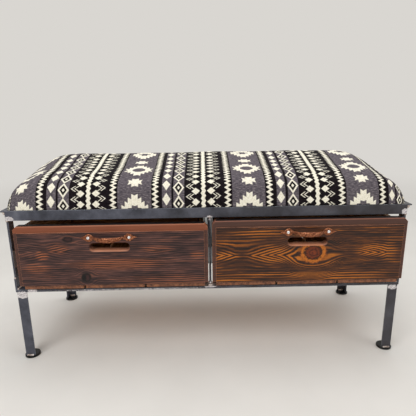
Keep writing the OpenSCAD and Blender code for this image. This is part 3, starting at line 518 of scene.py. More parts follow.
# The woven figures, from the lengths u along the seat and v from its front edge, in mm
WOVEN_FIGURES = [
    # picks are 1.3 mm apart, and every edge steps by one
    ("u", "SNAP", "u", 1.3), ("v", "SNAP", "v", 1.3),
    # place in the repeat, and distance from the nearest serrated line
    ("from_first", "ADD", "u", 7.2), ("w", "FLOORED_MODULO", "from_first", REPEAT),
    ("side", "PINGPONG", "from_first", REPEAT / 2),
    # its teeth stand in turn at the left and at the right
    ("at_left", "GREATER_THAN", "w", REPEAT / 2), ("v_tooth", "MULTIPLY_ADD", "at_left", 6.35, "v"),
    ("tooth", "PINGPONG", "v_tooth", 6.35), ("reach", "MULTIPLY_ADD", "tooth", 0.54, 3.0),
    ("cream", "SUBTRACT", "reach", "side"),
    # solid diamonds beside it, 20.5 by 18.5 mm
    ("v_near", "SUBTRACT", "v", 16.4), ("near", "PINGPONG", "v_near", 13.85),
    ("near_share", "DIVIDE", "near", 9.25),
    ("diamond", "SUBTRACT", "side", 19.3), ("diamond", "ABSOLUTE", "diamond"),
    ("diamond", "MULTIPLY_ADD", "diamond", 1 / 10.25, "near_share"),
    ("diamond", "MULTIPLY_ADD", "diamond", -7.1, 7.1), ("cream", "MAXIMUM", "cream", "diamond"),
    # hooked double chevrons between the diamonds
    ("between", "SUBTRACT", 13.85, "near"), ("slant", "MULTIPLY_ADD", "between", 1.4, "side"),
    ("outer", "SUBTRACT", "slant", 42.6), ("outer", "ABSOLUTE", "outer"),
    ("inner", "SUBTRACT", "slant", 33.8), ("inner", "ABSOLUTE", "inner"),
    ("hook", "MINIMUM", "outer", "inner"), ("hook", "MULTIPLY_ADD", "hook", -0.58, 0.9),
    ("within", "SUBTRACT", 7.4, "between"), ("hook", "MINIMUM", "hook", "within"),
    ("cream", "MAXIMUM", "cream", "hook"),
    # zigzags, one at each side of the grey field
    ("sway", "PINGPONG", "v", 6.45), ("sway", "MULTIPLY_ADD", "sway", 1.457, -4.7),
    ("zig", "SUBTRACT", "w", "sway"), ("zag", "SUBTRACT", "zig", 167.3), ("zag", "ABSOLUTE", "zag"),
    ("zig", "SUBTRACT", "zig", 61.5), ("zig", "ABSOLUTE", "zig"), ("zig", "MINIMUM", "zig", "zag"),
    ("zig", "MULTIPLY_ADD", "zig", -0.6, 2.65), ("cream", "MAXIMUM", "cream", "zig"),
    # tall diamonds, 20 by 32 mm
    ("tall", "SUBTRACT", "w", 195.3), ("tall", "ABSOLUTE", "tall"), ("tall", "DIVIDE", "tall", 10.0),
    ("v_tall", "SUBTRACT", "v", 24.9), ("v_tall", "PINGPONG", "v_tall", 19.25),
    ("tall", "MULTIPLY_ADD", "v_tall", 1 / 16, "tall"), ("tall", "MULTIPLY_ADD", "tall", -8.5, 8.5),
    ("cream", "MAXIMUM", "cream", "tall"),
    # chain of outlined diamonds on black, with a small one in each
    ("chain", "SUBTRACT", "w", 225.9), ("chain", "ABSOLUTE", "chain"), ("chain", "DIVIDE", "chain", 13.85),
    ("v_chain", "SUBTRACT", "v", 13.2), ("v_chain", "PINGPONG", "v_chain", 20.75),
    ("chain", "MULTIPLY_ADD", "v_chain", 1 / 20.75, "chain"),
    ("rim", "SUBTRACT", "chain", 0.85), ("rim", "ABSOLUTE", "rim"), ("rim", "MULTIPLY_ADD", "rim", -11.5, 2.0),
    ("pip", "MULTIPLY_ADD", "chain", -11.5, 3.0), ("rim", "MAXIMUM", "rim", "pip"),
    ("cream", "MAXIMUM", "cream", "rim"), ("in_chain", "LESS_THAN", "chain", 0.74),
    # toothed suns down the middle of the grey field, 300 mm apart, with a cross left out of each
    ("a", "SUBTRACT", "w", 115.7), ("a", "ABSOLUTE", "a"), ("b", "PINGPONG", "v", 150.0),
    ("teeth", "DIVIDE", "a", 8.3), ("step", "FLOOR", "teeth"), ("part", "FRACT", "teeth"),
    ("sun", "MULTIPLY_ADD", "step", -9.1, 35.5), ("sun", "MULTIPLY_ADD", "part", 4.5, "sun"),
    ("sun", "SUBTRACT", "sun", "b"), ("sun_end", "SUBTRACT", 33.2, "a"), ("sun", "MINIMUM", "sun", "sun_end"),
    ("post", "SUBTRACT", 8.2, "a"), ("post_top", "MULTIPLY_ADD", "a", 0.3, 9.5),
    ("post_top", "SUBTRACT", "post_top", "b"), ("post", "MINIMUM", "post", "post_top"),
    ("bar", "SUBTRACT", 17.0, "a"), ("bar_top", "SUBTRACT", 3.0, "b"), ("bar", "MINIMUM", "bar", "bar_top"),
    ("cross", "MAXIMUM", "post", "bar"), ("cross", "MULTIPLY", "cross", -1.0),
    ("sun", "MINIMUM", "sun", "cross"), ("cream", "MAXIMUM", "cream", "sun"),
    # small stars halfway
    ("c", "SUBTRACT", "v", 75.0), ("c", "PINGPONG", "c", 75.0),
    ("block", "MULTIPLY_ADD", "a", 0.353, 13.5), ("block", "SUBTRACT", "block", "c"),
    ("block_side", "SUBTRACT", 8.5, "a"), ("block", "MINIMUM", "block", "block_side"),
    ("arm", "MULTIPLY_ADD", "c", 0.333, 15.0), ("arm", "SUBTRACT", "arm", "a"),
    ("arm_top", "MULTIPLY_ADD", "a", 0.421, 2.42), ("arm_top", "SUBTRACT", "arm_top", "c"),
    ("arm", "MINIMUM", "arm", "arm_top"), ("block", "MAXIMUM", "block", "arm"),
    ("cream", "MAXIMUM", "cream", "block"),
    # wide toothed eyes between the suns
    ("e", "SUBTRACT", 150.0, "b"), ("teeth", "DIVIDE", "a", 9.0), ("step", "FLOOR", "teeth"),
    ("part", "FRACT", "teeth"), ("eye", "MULTIPLY_ADD", "step", -9.6, 38.8),
    ("eye", "MULTIPLY_ADD", "part", 4.2, "eye"), ("eye", "SUBTRACT", "eye", "e"),
    ("eye_end", "MULTIPLY_ADD", "e", 0.7, 30.0), ("eye_end", "MINIMUM", "eye_end", 36.0),
    ("eye_end", "SUBTRACT", "eye_end", "a"), ("eye", "MINIMUM", "eye", "eye_end"),
    ("gap", "ADD", "a", "e"), ("gap", "SUBTRACT", 22.5, "gap"), ("square", "MAXIMUM", "a", "e"),
    ("square", "SUBTRACT", 16.5, "square"), ("gap", "MINIMUM", "gap", "square"),
    ("gap", "MULTIPLY", "gap", -1.0), ("eye", "MINIMUM", "eye", "gap"), ("cream", "MAXIMUM", "cream", "eye"),
    ("across", "DIVIDE", "w", REPEAT),
]
# where the ground turns grey or black, in mm across the repeat
GREY_STRIPES = [(0.0, 0), (73.0, 1), (155.8, 0), (184.6, 1), (206.3, 0), (212.7, 1), (239.1, 0)]


def woven_wool():
    """Flat woven wool: ribs across the cloth, heather grey ground, cream and black figures with stepped edges."""
    finish, tree, shader, _ = new_finish("flat_woven_wool", Roughness=0.93, Sheen_Weight=0.03,
                                         Sheen_Roughness=0.6, Specular_IOR_Level=0.06)
    place = add(tree, "UVMap", uv_map="cloth")
    cloth = add(tree, "VectorMath", (place, (*CLOTH_SIZE, 0.0)), operation="MULTIPLY")
    lengths = add(tree, "SeparateXYZ", (cloth,)).outputs
    known = reckon(tree, {"u": lengths["X"], "v": lengths["Y"]}, WOVEN_FIGURES)
    cream = add(tree, "MapRange", (known["cream"], -0.2, 0.2))
    stripes = add(tree, "ValToRGB", (known["across"],),
                  stops=[(start / REPEAT, shade) for start, shade in GREY_STRIPES])
    stripes.color_ramp.interpolation = "CONSTANT"
    grey = add(tree, "Math", (stripes, known["in_chain"]), operation="SUBTRACT", use_clamp=True)
    # the yarns' own lumps, drawn 3.2 by 2.2 mm so that they show
    pick = add(tree, "VectorMath", (cloth, (1 / 3.2, 1 / 2.2, 0.0)), operation="MULTIPLY")
    pick = add(tree, "TexVoronoi", {"Vector": pick, "Scale": 1.0, "Randomness": 0.5}, voronoi_dimensions="2D").outputs
    lump = add(tree, "SeparateColor", (pick["Color"],)).outputs["Green"]
    heather = add(tree, "VectorMath", (cloth, (0.12, 0.40, 0.0)), operation="MULTIPLY")
    heather = add(tree, "TexNoise", {"Vector": heather, "Scale": 1.0, "Detail": 4.0, "Roughness": 0.6})
    grey_yarn = add(tree, "ValToRGB", (heather,), stops=[
        (0.30, "#38353C"), (0.45, "#565056"), (0.57, "#6D656A"), (0.70, "#8F8788")])
    black_yarn = over(tree, "#0F0B0E", (lump, "#1E181C"))
    cream_yarn = over(tree, "#EBE4CF", (lump, "#FBF6E6"))
    yarn = over(tree, black_yarn, (grey, grey_yarn), (cream, cream_yarn))
    # the hollows between yarn lumps set the bump and are also painted darker, as painted shade
    dip_and_shade = add(tree, "MapRange", (pick["Distance"], 0.25, 0.7, 1.0, 0.78))
    height = add(tree, "Math", (cream, 0.35, dip_and_shade), operation="MULTIPLY_ADD")
    join(tree, shader, Base_Color=add(tree, "Mix", {"Factor": 1.0, "A": yarn, "B": dip_and_shade}, data_type="RGBA",
                                      blend_type="MULTIPLY"),
         Normal=add(tree, "Bump", {"Height": height, "Strength": 0.5, "Distance": 0.0008}))
    return finish


# Cushion

SEAT_LOW, SEAT_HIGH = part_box("seat_cover")
HALF_X = (SEAT_HIGH[0] - SEAT_LOW[0]) / 2
HALF_Y = (SEAT_HIGH[1] - SEAT_LOW[1]) / 2
MID_X = (SEAT_HIGH[0] + SEAT_LOW[0]) / 2
MID_Y = (SEAT_HIGH[1] + SEAT_LOW[1]) / 2
SEAT_Z = SEAT_LOW[2]
BOXING, CROWN = 0.058, 0.059
SIDE_ROUND, TOP_BACK = 0.034, 0.200
# how far in from the left and the right end the edge is round, and the top still rises
END_SHOULDER, END_ROUND = (0.043, 0.058), (0.098, 0.125)
CORNER = 0.018
# frames that the pad's skin takes to swell, and how far in or out it may push the cover
SWELL_FRAMES, PUSH_LIMITS = 20, (-0.0015, 0.003)
# lengths over the pad from its front edge, and the cloth's own lengths at the same places, in mm
PAD_LENGTH = [0, 25, 63.5, 89.6, 97, 121, 145.5, 170, 197.5, 234.5, 257.7, 469]
CLOTH_LENGTH = [0, 25, 63.4, 95, 103, 143, 181, 223, 262, 299, 327, 538]


def shoulder(distance, width, power=2.2):
    """0 at the edge, 1 from width on, round between."""
    t = np.clip(distance / width, 0, 1)
    return (1 - (1 - t) ** power) ** (1 / power)


def swell(distance, width, power):
    """A slow rise towards the crown."""
    return 1 - (1 - np.clip(distance / width, 0, 1)) ** power


def pad_height(x, y):
    """Height of the pad above the rails; x and y are from the middle of the seat."""
    from_end, from_side, t = HALF_X - np.abs(x), HALF_Y - np.abs(y), y + HALF_Y
    crown = np.where(t < TOP_BACK, swell(t, TOP_BACK, 1.35),
                     swell(2 * HALF_Y - t, 2 * HALF_Y - TOP_BACK, 1.35))
    edge, top = (np.where(x < 0, *pair) for pair in (END_SHOULDER, END_ROUND))
    return (BOXING * shoulder(from_end, edge) * shoulder(from_side, SIDE_ROUND)
            + CROWN * swell(from_end, top, 2.0) * crown)


def even_steps(line, count):
    """Positions on a line that are evenly spaced over the pad's surface, with their lengths from the start."""
    place, height = line
    length = np.concatenate([[0], np.cumsum(np.hypot(np.diff(place), np.diff(height)))])
    even = np.linspace(0, length[-1], count)
    return np.interp(even, length, place), even


def fine_line(half):
    """Positions from -half to half, dense at both ends."""
    near = half * (1 - np.linspace(1, 0, 300) ** 3 * 0.25)
    return np.concatenate([-near[::-1], np.linspace(-half * 0.75, half * 0.75, 400)[1:-1], near])


def pad_grid(columns, rows):
    """Grid over the pad: points, and cloth lengths u along the seat and v from the front edge, in mm."""
    across = np.sort(fine_line(HALF_X))
    deep = np.sort(fine_line(HALF_Y))
    xs, us = even_steps((across, pad_height(across, np.zeros_like(across))), columns)
    ys, vs = even_steps((deep, pad_height(np.full_like(deep, -0.118), deep)), rows)
    us = (us - us[-1] / 2) / MM
    vs = np.interp(vs / MM, PAD_LENGTH, CLOTH_LENGTH)
    x, y = np.meshgrid(xs, ys, indexing="ij")
    z = pad_height(x, y)
    u, v = np.meshgrid(us, vs, indexing="ij")
    # over the crown the cloth is drawn in towards the middle, more to the left than to the right
    draw = np.clip((v - 60) / 140, 0, 1)
    u = u * (1 + np.where(u < 0, 0.035, 0.015) * draw * draw * (3 - 2 * draw))
    v = v + 20 * np.clip((-u - 440) / 60, 0, 1) + 2.5 - u / 250
    over_x, over_y = np.abs(x) - (HALF_X - CORNER), np.abs(y) - (HALF_Y - CORNER)
    both = (over_x > 0) & (over_y > 0)
    reach = np.where(both, np.maximum(over_x, over_y) / np.maximum(np.hypot(over_x, over_y), 1e-9), 1)
    x = np.where(both, np.sign(x) * (HALF_X - CORNER + over_x * reach), x)
    y = np.where(both, np.sign(y) * (HALF_Y - CORNER + over_y * reach), y)
    return np.stack([x + MID_X, y + MID_Y, z + SEAT_Z], -1), u, v


def ring_of(columns, rows):
    """Index pairs round the grid's edge, in order."""
    return ([(i, 0) for i in range(columns)] + [(columns - 1, j) for j in range(1, rows)]
            + [(i, rows - 1) for i in range(columns - 2, -1, -1)] + [(0, j) for j in range(rows - 2, 0, -1)])


def grid_faces(columns, rows):
    """The faces between the points of a grid that is kept column by column."""
    return [(i * rows + j, (i + 1) * rows + j, (i + 1) * rows + j + 1, i * rows + j + 1)
            for i in range(columns - 1) for j in range(rows - 1)]


def swollen_pad():
    """The pad's skin after its foam has pushed it out, from a cloth simulation under pressure."""
    columns, rows = 128, 56
    centre = np.array([MID_X, MID_Y, SEAT_Z])
    grid = centre + (pad_grid(columns, rows)[0] - centre) * np.array([0.994, 0.985, 0.965])
    faces = grid_faces(columns, rows) + [[i * rows + j for i, j in ring_of(columns, rows)]]
    maker = loose_object("pad_skin", mesh_of("pad_skin", grid.reshape(-1, 3), faces))
    remesh = maker.modifiers.new("voxels", "REMESH")
    remesh.mode, remesh.voxel_size = "VOXEL", 0.006
    skin = baked(maker, "pad_skin")
    maker = loose_object("pad_skin", skin)
    seam = maker.vertex_groups.new(name="seam")
    seam.add([v.index for v in skin.vertices if v.co.z < SEAT_Z + 0.008], 1.0, "REPLACE")
    cloth = maker.modifiers.new("cloth", "CLOTH")
    settings = cloth.settings
    settings.quality = 4
    settings.mass = 0.35
    settings.use_pressure = True
    settings.uniform_pressure_force = 4.0
    settings.effector_weights.gravity = 0.0
    settings.vertex_group_mass = "seam"
    settings.tension_stiffness = settings.compression_stiffness = 25
    settings.bending_stiffness = 1.5
    cloth.collision_settings.use_collision = False
    cloth.point_cache.frame_start, cloth.point_cache.frame_end = 1, SWELL_FRAMES
    for step in range(1, SWELL_FRAMES + 1):
        bpy.context.scene.frame_set(step)
        bpy.context.view_layer.update()
    puffed = baked(maker, "pad_skin_puffed")
    bpy.context.scene.frame_set(1)
    return puffed


def pushed(grid):
    """The grid after the foam has pushed it out, or let it sink in, by a few mm."""
    skin = swollen_pad()
    tree = BVHTree.FromPolygons([v.co.copy() for v in skin.vertices], [tuple(f.vertices) for f in skin.polygons])
    out = np.cross(np.gradient(grid, axis=0), np.gradient(grid, axis=1))
    out /= np.maximum(np.linalg.norm(out, axis=-1, keepdims=True), 1e-9)
    push = np.zeros(grid.shape[:2])
    for place in np.ndindex(push.shape):
        start, way = Vector(grid[place]), Vector(out[place])
        hit = tree.ray_cast(start - way * 0.02, way, 0.05)[0]
        if hit is not None:
            push[place] = (hit - start).dot(way)
    for _ in range(2):
        push[1:-1, 1:-1] = (push[1:-1, 1:-1] * 2 + push[:-2, 1:-1] + push[2:, 1:-1] + push[1:-1, :-2]
                            + push[1:-1, 2:]) / 6
    held = np.clip((grid[..., 2] - SEAT_Z) / 0.02, 0, 1)
    push = np.clip(push - np.median(push[held > 0.99]), *PUSH_LIMITS) * held
    return grid + out * push[..., None]


def make_cushion(wool):
    """The cover: simulated swell, slack dips, the fold under the board, and the woven figures on it."""
    columns, rows = 110, 47
    grid, u, v = pad_grid(columns, rows)
    grid = pushed(grid)
    # hand-pulled cloth: slack dips that run from the edges
    for place in np.ndindex(columns, rows):
        x, y, z = grid[place]
        soft = noise.noise(Vector((x * 9, y * 9, 3.1))) * 0.0022 + noise.noise(Vector((x * 31, y * 14, 8))) * 0.0007
        grid[place][2] += soft * min(1.0, max(0.0, (z - SEAT_Z) / 0.03))
    points = [tuple(p) for p in grid.reshape(-1, 3)]
    faces = grid_faces(columns, rows)
    spots = list(zip(u.ravel(), v.ravel()))
    ring = ring_of(columns, rows)
    count = len(ring)
    last = [i * rows + j for i, j in ring]
    # round the board's lower edge, then 34 mm in under it, and up into the board, where it is closed
    for inset, rise, length in ((0.0012, 0.0002, 1.5), (0.016, 0.0002, 16.0), (0.033, 0.0002, 33.0),
                                (0.034, 0.0016, 34.0)):
        now = list(range(len(points), len(points) + count))
        for i, j in ring:
            dx, dy = grid[i, j, 0] - MID_X, grid[i, j, 1] - MID_Y
            points.append((MID_X + math.copysign(min(abs(dx), HALF_X - inset), dx),
                           MID_Y + math.copysign(min(abs(dy), HALF_Y - inset), dy), SEAT_Z + rise))
            spots.append((u[i, j], v[i, j] - length if j < rows / 2 else v[i, j] + length))
        faces += [(last[k], now[k], now[(k + 1) % count], last[(k + 1) % count]) for k in range(count)]
        last = now
    mesh = bpy.data.meshes.new("cushion_cover")
    mesh.from_pydata(points, [], faces)
    where = np.array([spots[corner.vertex_index] for corner in mesh.loops])
    mesh.uv_layers.new(name="cloth").data.foreach_set("uv", (where / np.array(CLOTH_SIZE)).ravel())
    maker = loose_object("cushion_maker", mended(mesh, "outwards", smooth=False))
    finer = maker.modifiers.new("finer", "SUBSURF")
    finer.levels = finer.render_levels = 2
    finer.uv_smooth = "NONE"
    cover = mended(baked(maker, "woven_cushion_cover"), "close")
    piece = new_piece("woven_cushion_cover", cover, "frame", "woven_cover", wool)
    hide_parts("seat_cover", "seat_foam")


# Hammered pulls and their screws

def make_pull(side, iron):
    """The forged pull, with hammer marks left in its faces."""
    maker = loose_object("pull_maker", merged_copy(side + "_pull"))
    remesh = maker.modifiers.new("voxels", "REMESH")
    remesh.mode, remesh.voxel_size = "VOXEL", 0.0009
    even = maker.modifiers.new("even", "SMOOTH")
    even.factor, even.iterations = 0.5, 3
    mesh = baked(maker, side + "_hammered_pull")
    mesh.update()
    normals = [v.normal.copy() for v in mesh.vertices]
    seed = 0.0 if side == "left" else 4.7
    for vertex, normal in zip(mesh.vertices, normals):
        # hammer marks are about 6 mm across and up to 0.7 mm deep
        dent = noise.voronoi(Vector(vertex.co) * 170 + Vector((seed, seed, 0)))[0][0]
        vertex.co += normal * (min(dent, 0.6) * 0.0012 - 0.0005)
    mesh.polygons.foreach_set("use_smooth", [True] * len(mesh.polygons))
    piece = new_piece(side + "_hammered_pull", mesh, side + "_drawer", "forged_iron", iron)
    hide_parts(side + "_pull")


def make_pull_screws(side, bright):
    """Pan-head screws with a cross recess, on their plain shanks."""
    (low_x, front, low_z), (high_x, back, high_z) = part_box(side + "_pull_screws")
    mid_z, radius = (low_z + high_z) / 2, (high_z - low_z) / 2
    head, shank, turns, rings = 0.0021, 0.0019, 40, 15
    # the head's dome from its middle out, then its underside, the shank and its end, as radius and depth
    shares = [k / (rings - 1) for k in range(rings)]
    profile = [(radius * share, front + head - head * math.sqrt(max(0.0, 1 - share ** 2.6))) for share in shares]
    profile += [(radius, front + 0.0024), (shank, front + 0.0024), (shank, back - 0.002), (0.0003, back)]
    points, faces = [], []
    for centre_x in (low_x + radius, high_x - radius):
        start = len(points)
        for k, (r, y) in enumerate(profile):
            for t in range(turns):
                a, b = (r * way(2 * math.pi * t / turns) for way in (math.cos, math.sin))
                # the recess is a cross 1.3 mm wide, 1.3 mm deep, with arms 2.7 mm long
                arm = max(0.0, min(1.0, (0.00065 - min(abs(a), abs(b))) / 0.0003))
                deep = arm * max(0.0, min(1.0, (0.0027 - r) / 0.0005)) if k < rings else 0.0
                points.append((centre_x + a, y + deep * 0.0013, mid_z + b))
        for k in range(len(profile) - 1):
            near, far = start + k * turns, start + (k + 1) * turns
            faces += [(near + t, near + (t + 1) % turns, far + (t + 1) % turns, far + t) for t in range(turns)]
        faces.append([far + t for t in range(turns)])
    mesh = bpy.data.meshes.new(side + "_pan_head_screws")
    mesh.from_pydata(points, [], faces)
    mended(mesh, "merge", "thin", "outwards")
    piece = new_piece(side + "_pan_head_screws", mesh, side + "_drawer", "bright_screw", bright)
    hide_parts(side + "_pull_screws")


# Repeated small parts, made with Geometry Nodes

def new_tree(name, *sizes):
    """A Geometry Nodes tree with named number inputs, and what these bring in."""
    tree = bpy.data.node_groups.new(name, "GeometryNodeTree")
    tree.interface.new_socket("Geometry", in_out="INPUT", socket_type="NodeSocketGeometry")
    for size in sizes:
        tree.interface.new_socket(size, in_out="INPUT", socket_type="NodeSocketFloat")
    tree.interface.new_socket("Geometry", in_out="OUTPUT", socket_type="NodeSocketGeometry")
    return tree, add(tree, "NodeGroupInput").outputs


def spaced(tree, given, axis):
    """Points along the guide's lines, one every pitch, and the turn that lays an axis along the line."""
    line = add(tree, "GeometryNodeMeshToCurve", {"Mesh": given["Geometry"]})
    turn = add(tree, "FunctionNodeAlignRotationToVector", {"Vector": add(tree, "GeometryNodeInputTangent")},
               axis=axis)
    return {"Points": add(tree, "GeometryNodeResampleCurve", {"Curve": line, "Length": given["Pitch"]},
                          mode="LENGTH"), "Rotation": turn}


def end_tree(tree, finish, placing):
    """Copies placed as told, made real meshes with their material, to the tree's output."""
    real = add(tree, "GeometryNodeRealizeInstances",
               {"Geometry": add(tree, "GeometryNodeInstanceOnPoints", placing)})
    add(tree, "NodeGroupOutput", {"Geometry": add(tree, "GeometryNodeSetMaterial",
                                                  {"Geometry": real, "Material": finish})})
    return tree


def guide_mesh(points, edges=(), mark=None, kind="FLOAT", values=()):
    """Points and lines that a tree grows on; a mark is a value that each point carries."""
    guide = bpy.data.meshes.new("guide")
    guide.from_pydata(points, edges, [])
    if mark:
        field = "vector" if kind == "FLOAT_VECTOR" else "value"
        guide.attributes.new(mark, kind, "POINT").data.foreach_set(field, values)
    return guide


def grown(name, tree, guide, body, slot, finish, **sizes):
    """Runs a tree on a guide mesh and leaves one plain piece on its body."""
    maker = loose_object(name + "_guide", guide)
    run = maker.modifiers.new("grow", "NODES")
    run.node_group = tree
    for item in tree.interface.items_tree:
        if item.in_out == "INPUT" and item.name in sizes:
            run[item.identifier] = float(sizes[item.name])
    new_piece(name, baked(maker, name), body, slot, finish)


def bead_tree(finish):
    """Overlapping ripples of weld metal along guide lines; each point's bead_width sets the size."""
    tree, given = new_tree("weld_ripples", "Pitch", "Seed")
    lump = add(tree, "GeometryNodeMeshIcoSphere", {"Radius": 0.5, "Subdivisions": 2}).outputs["Mesh"]
    width = add(tree, "GeometryNodeInputNamedAttribute", {"Name": "bead_width"}, data_type="FLOAT")
    uneven = add(tree, "FunctionNodeRandomValue", {"Min": 0.82, "Max": 1.08, "Seed": given["Seed"]},
                 data_type="FLOAT")
    size = add(tree, "Math", (width.outputs["Attribute"], uneven), operation="MULTIPLY")
    flat = add(tree, "Math", (size, 0.62), operation="MULTIPLY")
    return end_tree(tree, finish, {
        **spaced(tree, given, "Z"), "Scale": add(tree, "CombineXYZ", (size, size, flat)),
        "Instance": add(tree, "GeometryNodeSetShadeSmooth", {"Geometry": lump})})


def beads():
    """The points of each weld bead of the frame, bead by bead."""
    soup = bmesh.new()
    soup.from_mesh(merged_copy("weld_beads"))
    seen = set()
    for first in soup.verts:
        if first in seen:
            continue
        seen.add(first)
        group, stack = [], [first]
        while stack:
            vert = stack.pop()
            group.append(vert.co.copy())
            others = [edge.other_vert(vert) for edge in vert.link_edges]
            stack += [other for other in others if other not in seen]
            seen.update(others)
        yield np.array(group)
    soup.free()


def make_welds(finish):
    """Ripples of weld metal over each bead of the frame."""
    points, edges, widths = [], [], []
    for cloud in beads():
        middle = cloud.mean(0)
        axes = np.linalg.eigh(np.cov((cloud - middle).T))[1]
        along = (cloud - middle) @ axes[:, 2]
        half = (along.max() - along.min()) / 2
        thick = np.abs((cloud - middle) @ axes[:, 1]).max()
        run = max(half - thick * 0.8, half * 0.2)
        centre = (along.max() + along.min()) / 2
        points += [tuple(middle + axes[:, 2] * (centre + end)) for end in (-run, run)]
        widths += [thick * 1.9] * 2
        edges.append((len(points) - 2, len(points) - 1))
    guide = guide_mesh(points, edges, "bead_width", "FLOAT", widths)
    grown("weld_ripples", bead_tree(finish), guide, "frame", "ground_weld", finish, Pitch=0.0021, Seed=7)


def staple_tree(finish):
    """Wire staples across a guide line, one every pitch."""
    tree, given = new_tree("staple_row", "Pitch", "Crown", "Wire")
    size = add(tree, "CombineXYZ", (given["Crown"], given["Wire"], given["Wire"]))
    wire = add(tree, "GeometryNodeMeshCube", {"Size": size, "Vertices X": 5, "Vertices Y": 3, "Vertices Z": 3})
    return end_tree(tree, finish, {**spaced(tree, given, "Y"), "Instance": wire.outputs["Mesh"]})


def make_staples(finish):
    """Staples through the fold of the cover into the board, seen from below inside the rails."""
    inset = 0.030
    x0, x1 = SEAT_LOW[0] + inset, SEAT_HIGH[0] - inset
    y0, y1 = SEAT_LOW[1] + inset, SEAT_HIGH[1] - inset
    guide = guide_mesh([(x0, y0, SEAT_Z), (x1, y0, SEAT_Z), (x1, y1, SEAT_Z), (x0, y1, SEAT_Z)],
                       [(0, 1), (1, 2), (2, 3), (3, 0)])
    grown("cover_staples", staple_tree(finish), guide, "frame", "zinc_slide", finish,
          Pitch=0.022, Crown=0.010, Wire=0.0012)


def nail_tree(finish):
    """Small nail heads at the guide's points, facing along each point's nail_way."""
    tree, given = new_tree("nail_heads", "Radius", "Height")
    narrow = add(tree, "Math", (given["Radius"], 0.82), operation="MULTIPLY")
    head = add(tree, "GeometryNodeMeshCone", {"Vertices": 14, "Radius Top": narrow,
                                              "Radius Bottom": given["Radius"], "Depth": given["Height"]})
    way = add(tree, "GeometryNodeInputNamedAttribute", {"Name": "nail_way"}, data_type="FLOAT_VECTOR")
    turn = add(tree, "FunctionNodeAlignRotationToVector", {"Vector": way}, axis="Z")
    return end_tree(tree, finish, {"Points": given["Geometry"], "Instance": head.outputs["Mesh"], "Rotation": turn})


def make_nails(side, finish):
    """Nails of one drawer box: through its sides into the back, and in the back ends of its bottom boards."""
    left_x, right_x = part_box(side + "_box_left_side")[0][0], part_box(side + "_box_right_side")[1][0]
    low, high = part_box(side + "_box_back")
    base_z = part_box(side + "_bottom_boards")[0][2]
    lift, mid_back = 0.0001, (low[1] + high[1]) / 2
    points, ways = [], []
    for share in (0.15, 0.5, 0.85):
        z = low[2] + (high[2] - low[2]) * share
        points += [(left_x - lift, mid_back, z), (right_x + lift, mid_back, z)]
        ways += [(-1, 0, 0), (1, 0, 0)]
    for k in range(7):
        points.append((low[0] + (high[0] - low[0]) * (k + 0.5) / 7, high[1] + lift, base_z + 0.0048))
        ways.append((0, 1, 0))
    guide = guide_mesh(points, [], "nail_way", "FLOAT_VECTOR", [c for way in ways for c in way])
    grown(side + "_box_nails", nail_tree(finish), guide, side + "_drawer", "zinc_slide", finish,
          Radius=0.0021, Height=0.0007)


# Everything together

def dress_nodes(finishes):
    """Gives every CAD node that stays the finish of its slot."""
    for row in frame["record"]["subparts"]:
        target = nodes[row["node"]]
        across = row["node"].endswith("_box_back")
        target.data.materials.clear()
        target.data.materials.append(finishes["box_back_wood" if across else row["material_slot"]])


set_camera()
set_studio()
left_box, right_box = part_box("left_front"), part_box("right_front")
# bright metal at the leg tops, corners of the top rail, both ends of the divider and its edge, and the left of the
# lower rail, where the long thin oval is a painted highlight along the rail
GROUND_AND_LIT_OVALS = [(-492, 188, 17, 11, 1.0), (492, 189, 16, 8, 0.74), (-500, 395, 14, 8, 1.0),
                (503, 397, 9, 10, 0.9), (5, 390, 9, 7, 0.9), (5, 206, 22, 8, 0.9), (5, 300, 4, 90, 0.22),
                (-200, 198, 260, 2.8, 0.50), (-464, 200, 13, 6, 1.0)]
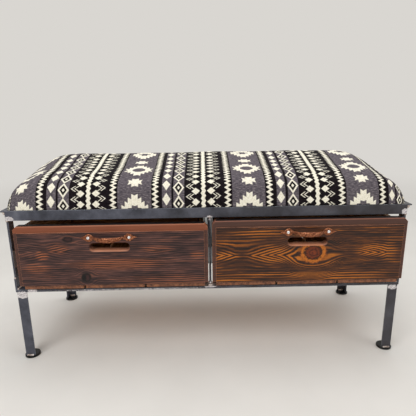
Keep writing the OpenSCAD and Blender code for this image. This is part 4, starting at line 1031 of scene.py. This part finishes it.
# the boxes are given pale wood, paler than the ends of their bottom boards which show under the fronts: painted light
# that lifts the shade inside the boxes
PALE_BOX_WOOD_LIFTING_SHADE = [(0.15, "#84583A"), (0.45, "#B08056"), (0.8, "#D0A274")]
END_STAIN = [(0.15, "#4A2A1C"), (0.45, "#75462E"), (0.8, "#A06844")]
finishes = {
    "dark_steel": waxed_steel(GROUND_AND_LIT_OVALS),
    "ground_weld": ground_weld(),
    "black_feet": black_enamel(),
    "pale_pad": pale_soft("pressed_felt"),
    "packer_pine": board_wood("sawn_pine", [(0.2, "#1E120D"), (0.5, "#35211A"), (0.8, "#4C3226")]),
    # for each front the band's tones come last but for the painted highlight along its rounded top edge, then the box,
    # and the slot, whose lip gets a painted highlight
    "left_front_wood": front_pine(
        "dark_stained_pine",
        [(0.10, "#1A1213"), (0.35, "#30201F"), (0.58, "#492F2B"), (0.80, "#614039"), (0.97, "#7C5142")],
        ("#86472D", "#B86E44"),
        (316.0, 5.6, 12.0, [(-470, -418, 12.0), (-405, -340, -14.0), (-160, -60, 8.0)],
         [(-311.0, 244.0, 11.0, 13.0, 0.8), (-349.0, 347.0, 13.0, 7.0, 0.8)]),
        [(-436, 271, 32, 13, 0.9), (-230, 279, 112, 15, 1.0), (-418, 305, 16, 13, 0.9), (-375, 322, 27, 12, 0.8),
         (-90, 231, 110, 18, 0.5), (-28, 300, 18, 10, 0.9), (-130, 318, 40, 9, 0.6)],
        0.35, ("#713E29", "#965436", "#9E6041"), left_box, (-247.5, 316.5)),
    "right_front_wood": front_pine(
        "orange_stained_pine",
        [(0.10, "#190E09"), (0.33, "#2D1A12"), (0.55, "#402315"), (0.78, "#552F18"), (0.97, "#724019")],
        ("#934513", "#D27F25"),
        (296.0, 6.8, 12.0, [(18, 69, 17.0), (100, 228, -38.0), (385, 456, 24.0)],
         [(267.0, 300.0, 31.0, 27.0, 0.75)]),
        [(122, 354, 62, 8, 1.0), (165, 297, 62, 22, 1.1), (45, 295, 32, 12, 1.1), (267, 288, 60, 34, 0.7),
         (425, 303, 48, 16, 1.0), (250, 241, 230, 7, 0.9), (60, 225, 50, 10, 0.8), (330, 232, 120, 8, 0.7),
         (60, 330, 60, 12, 0.5), (460, 300, 22, 26, 0.5)],
        0.55, ("#36241F", "#5E3E33", "#8A5846"), right_box, (251.5, 322.0)),
    "box_wood": board_wood("pale_pine_lifting_shade", PALE_BOX_WOOD_LIFTING_SHADE, front_tones=END_STAIN),
    "box_back_wood": board_wood("pale_pine_lifting_shade_back", PALE_BOX_WOOD_LIFTING_SHADE, axis="X"),
    "forged_iron": forged_iron(),
    "bright_screw": zinc_plate("bright_zinc_screw", ("#D9DADB", "#FBFBFA"), (0.18, 0.34), 3.0),
    "zinc_slide": zinc_plate("zinc_plated_strip", ("#9DA2A6", "#D5D8DA"), (0.26, 0.42), 2.2),
    "ball_steel": zinc_plate("polished_ball_steel", ("#C9CBCD", "#EDEEEF"), (0.10, 0.2), 4.0),
    "plywood": board_wood("raw_plywood", [(0.2, "#A98555"), (0.5, "#C7A877"), (0.85, "#DCC49A")], 0.7, "X"),
    "foam": pale_soft("open_cell_foam"),
    "woven_cover": woven_wool(),
}
dress_nodes(finishes)
make_cushion(finishes["woven_cover"])
for side in ("left", "right"):
    make_pull(side, finishes["forged_iron"])
    make_pull_screws(side, finishes["bright_screw"])
    make_nails(side, finishes["zinc_slide"])
make_welds(finishes["ground_weld"])
make_staples(finishes["zinc_slide"])
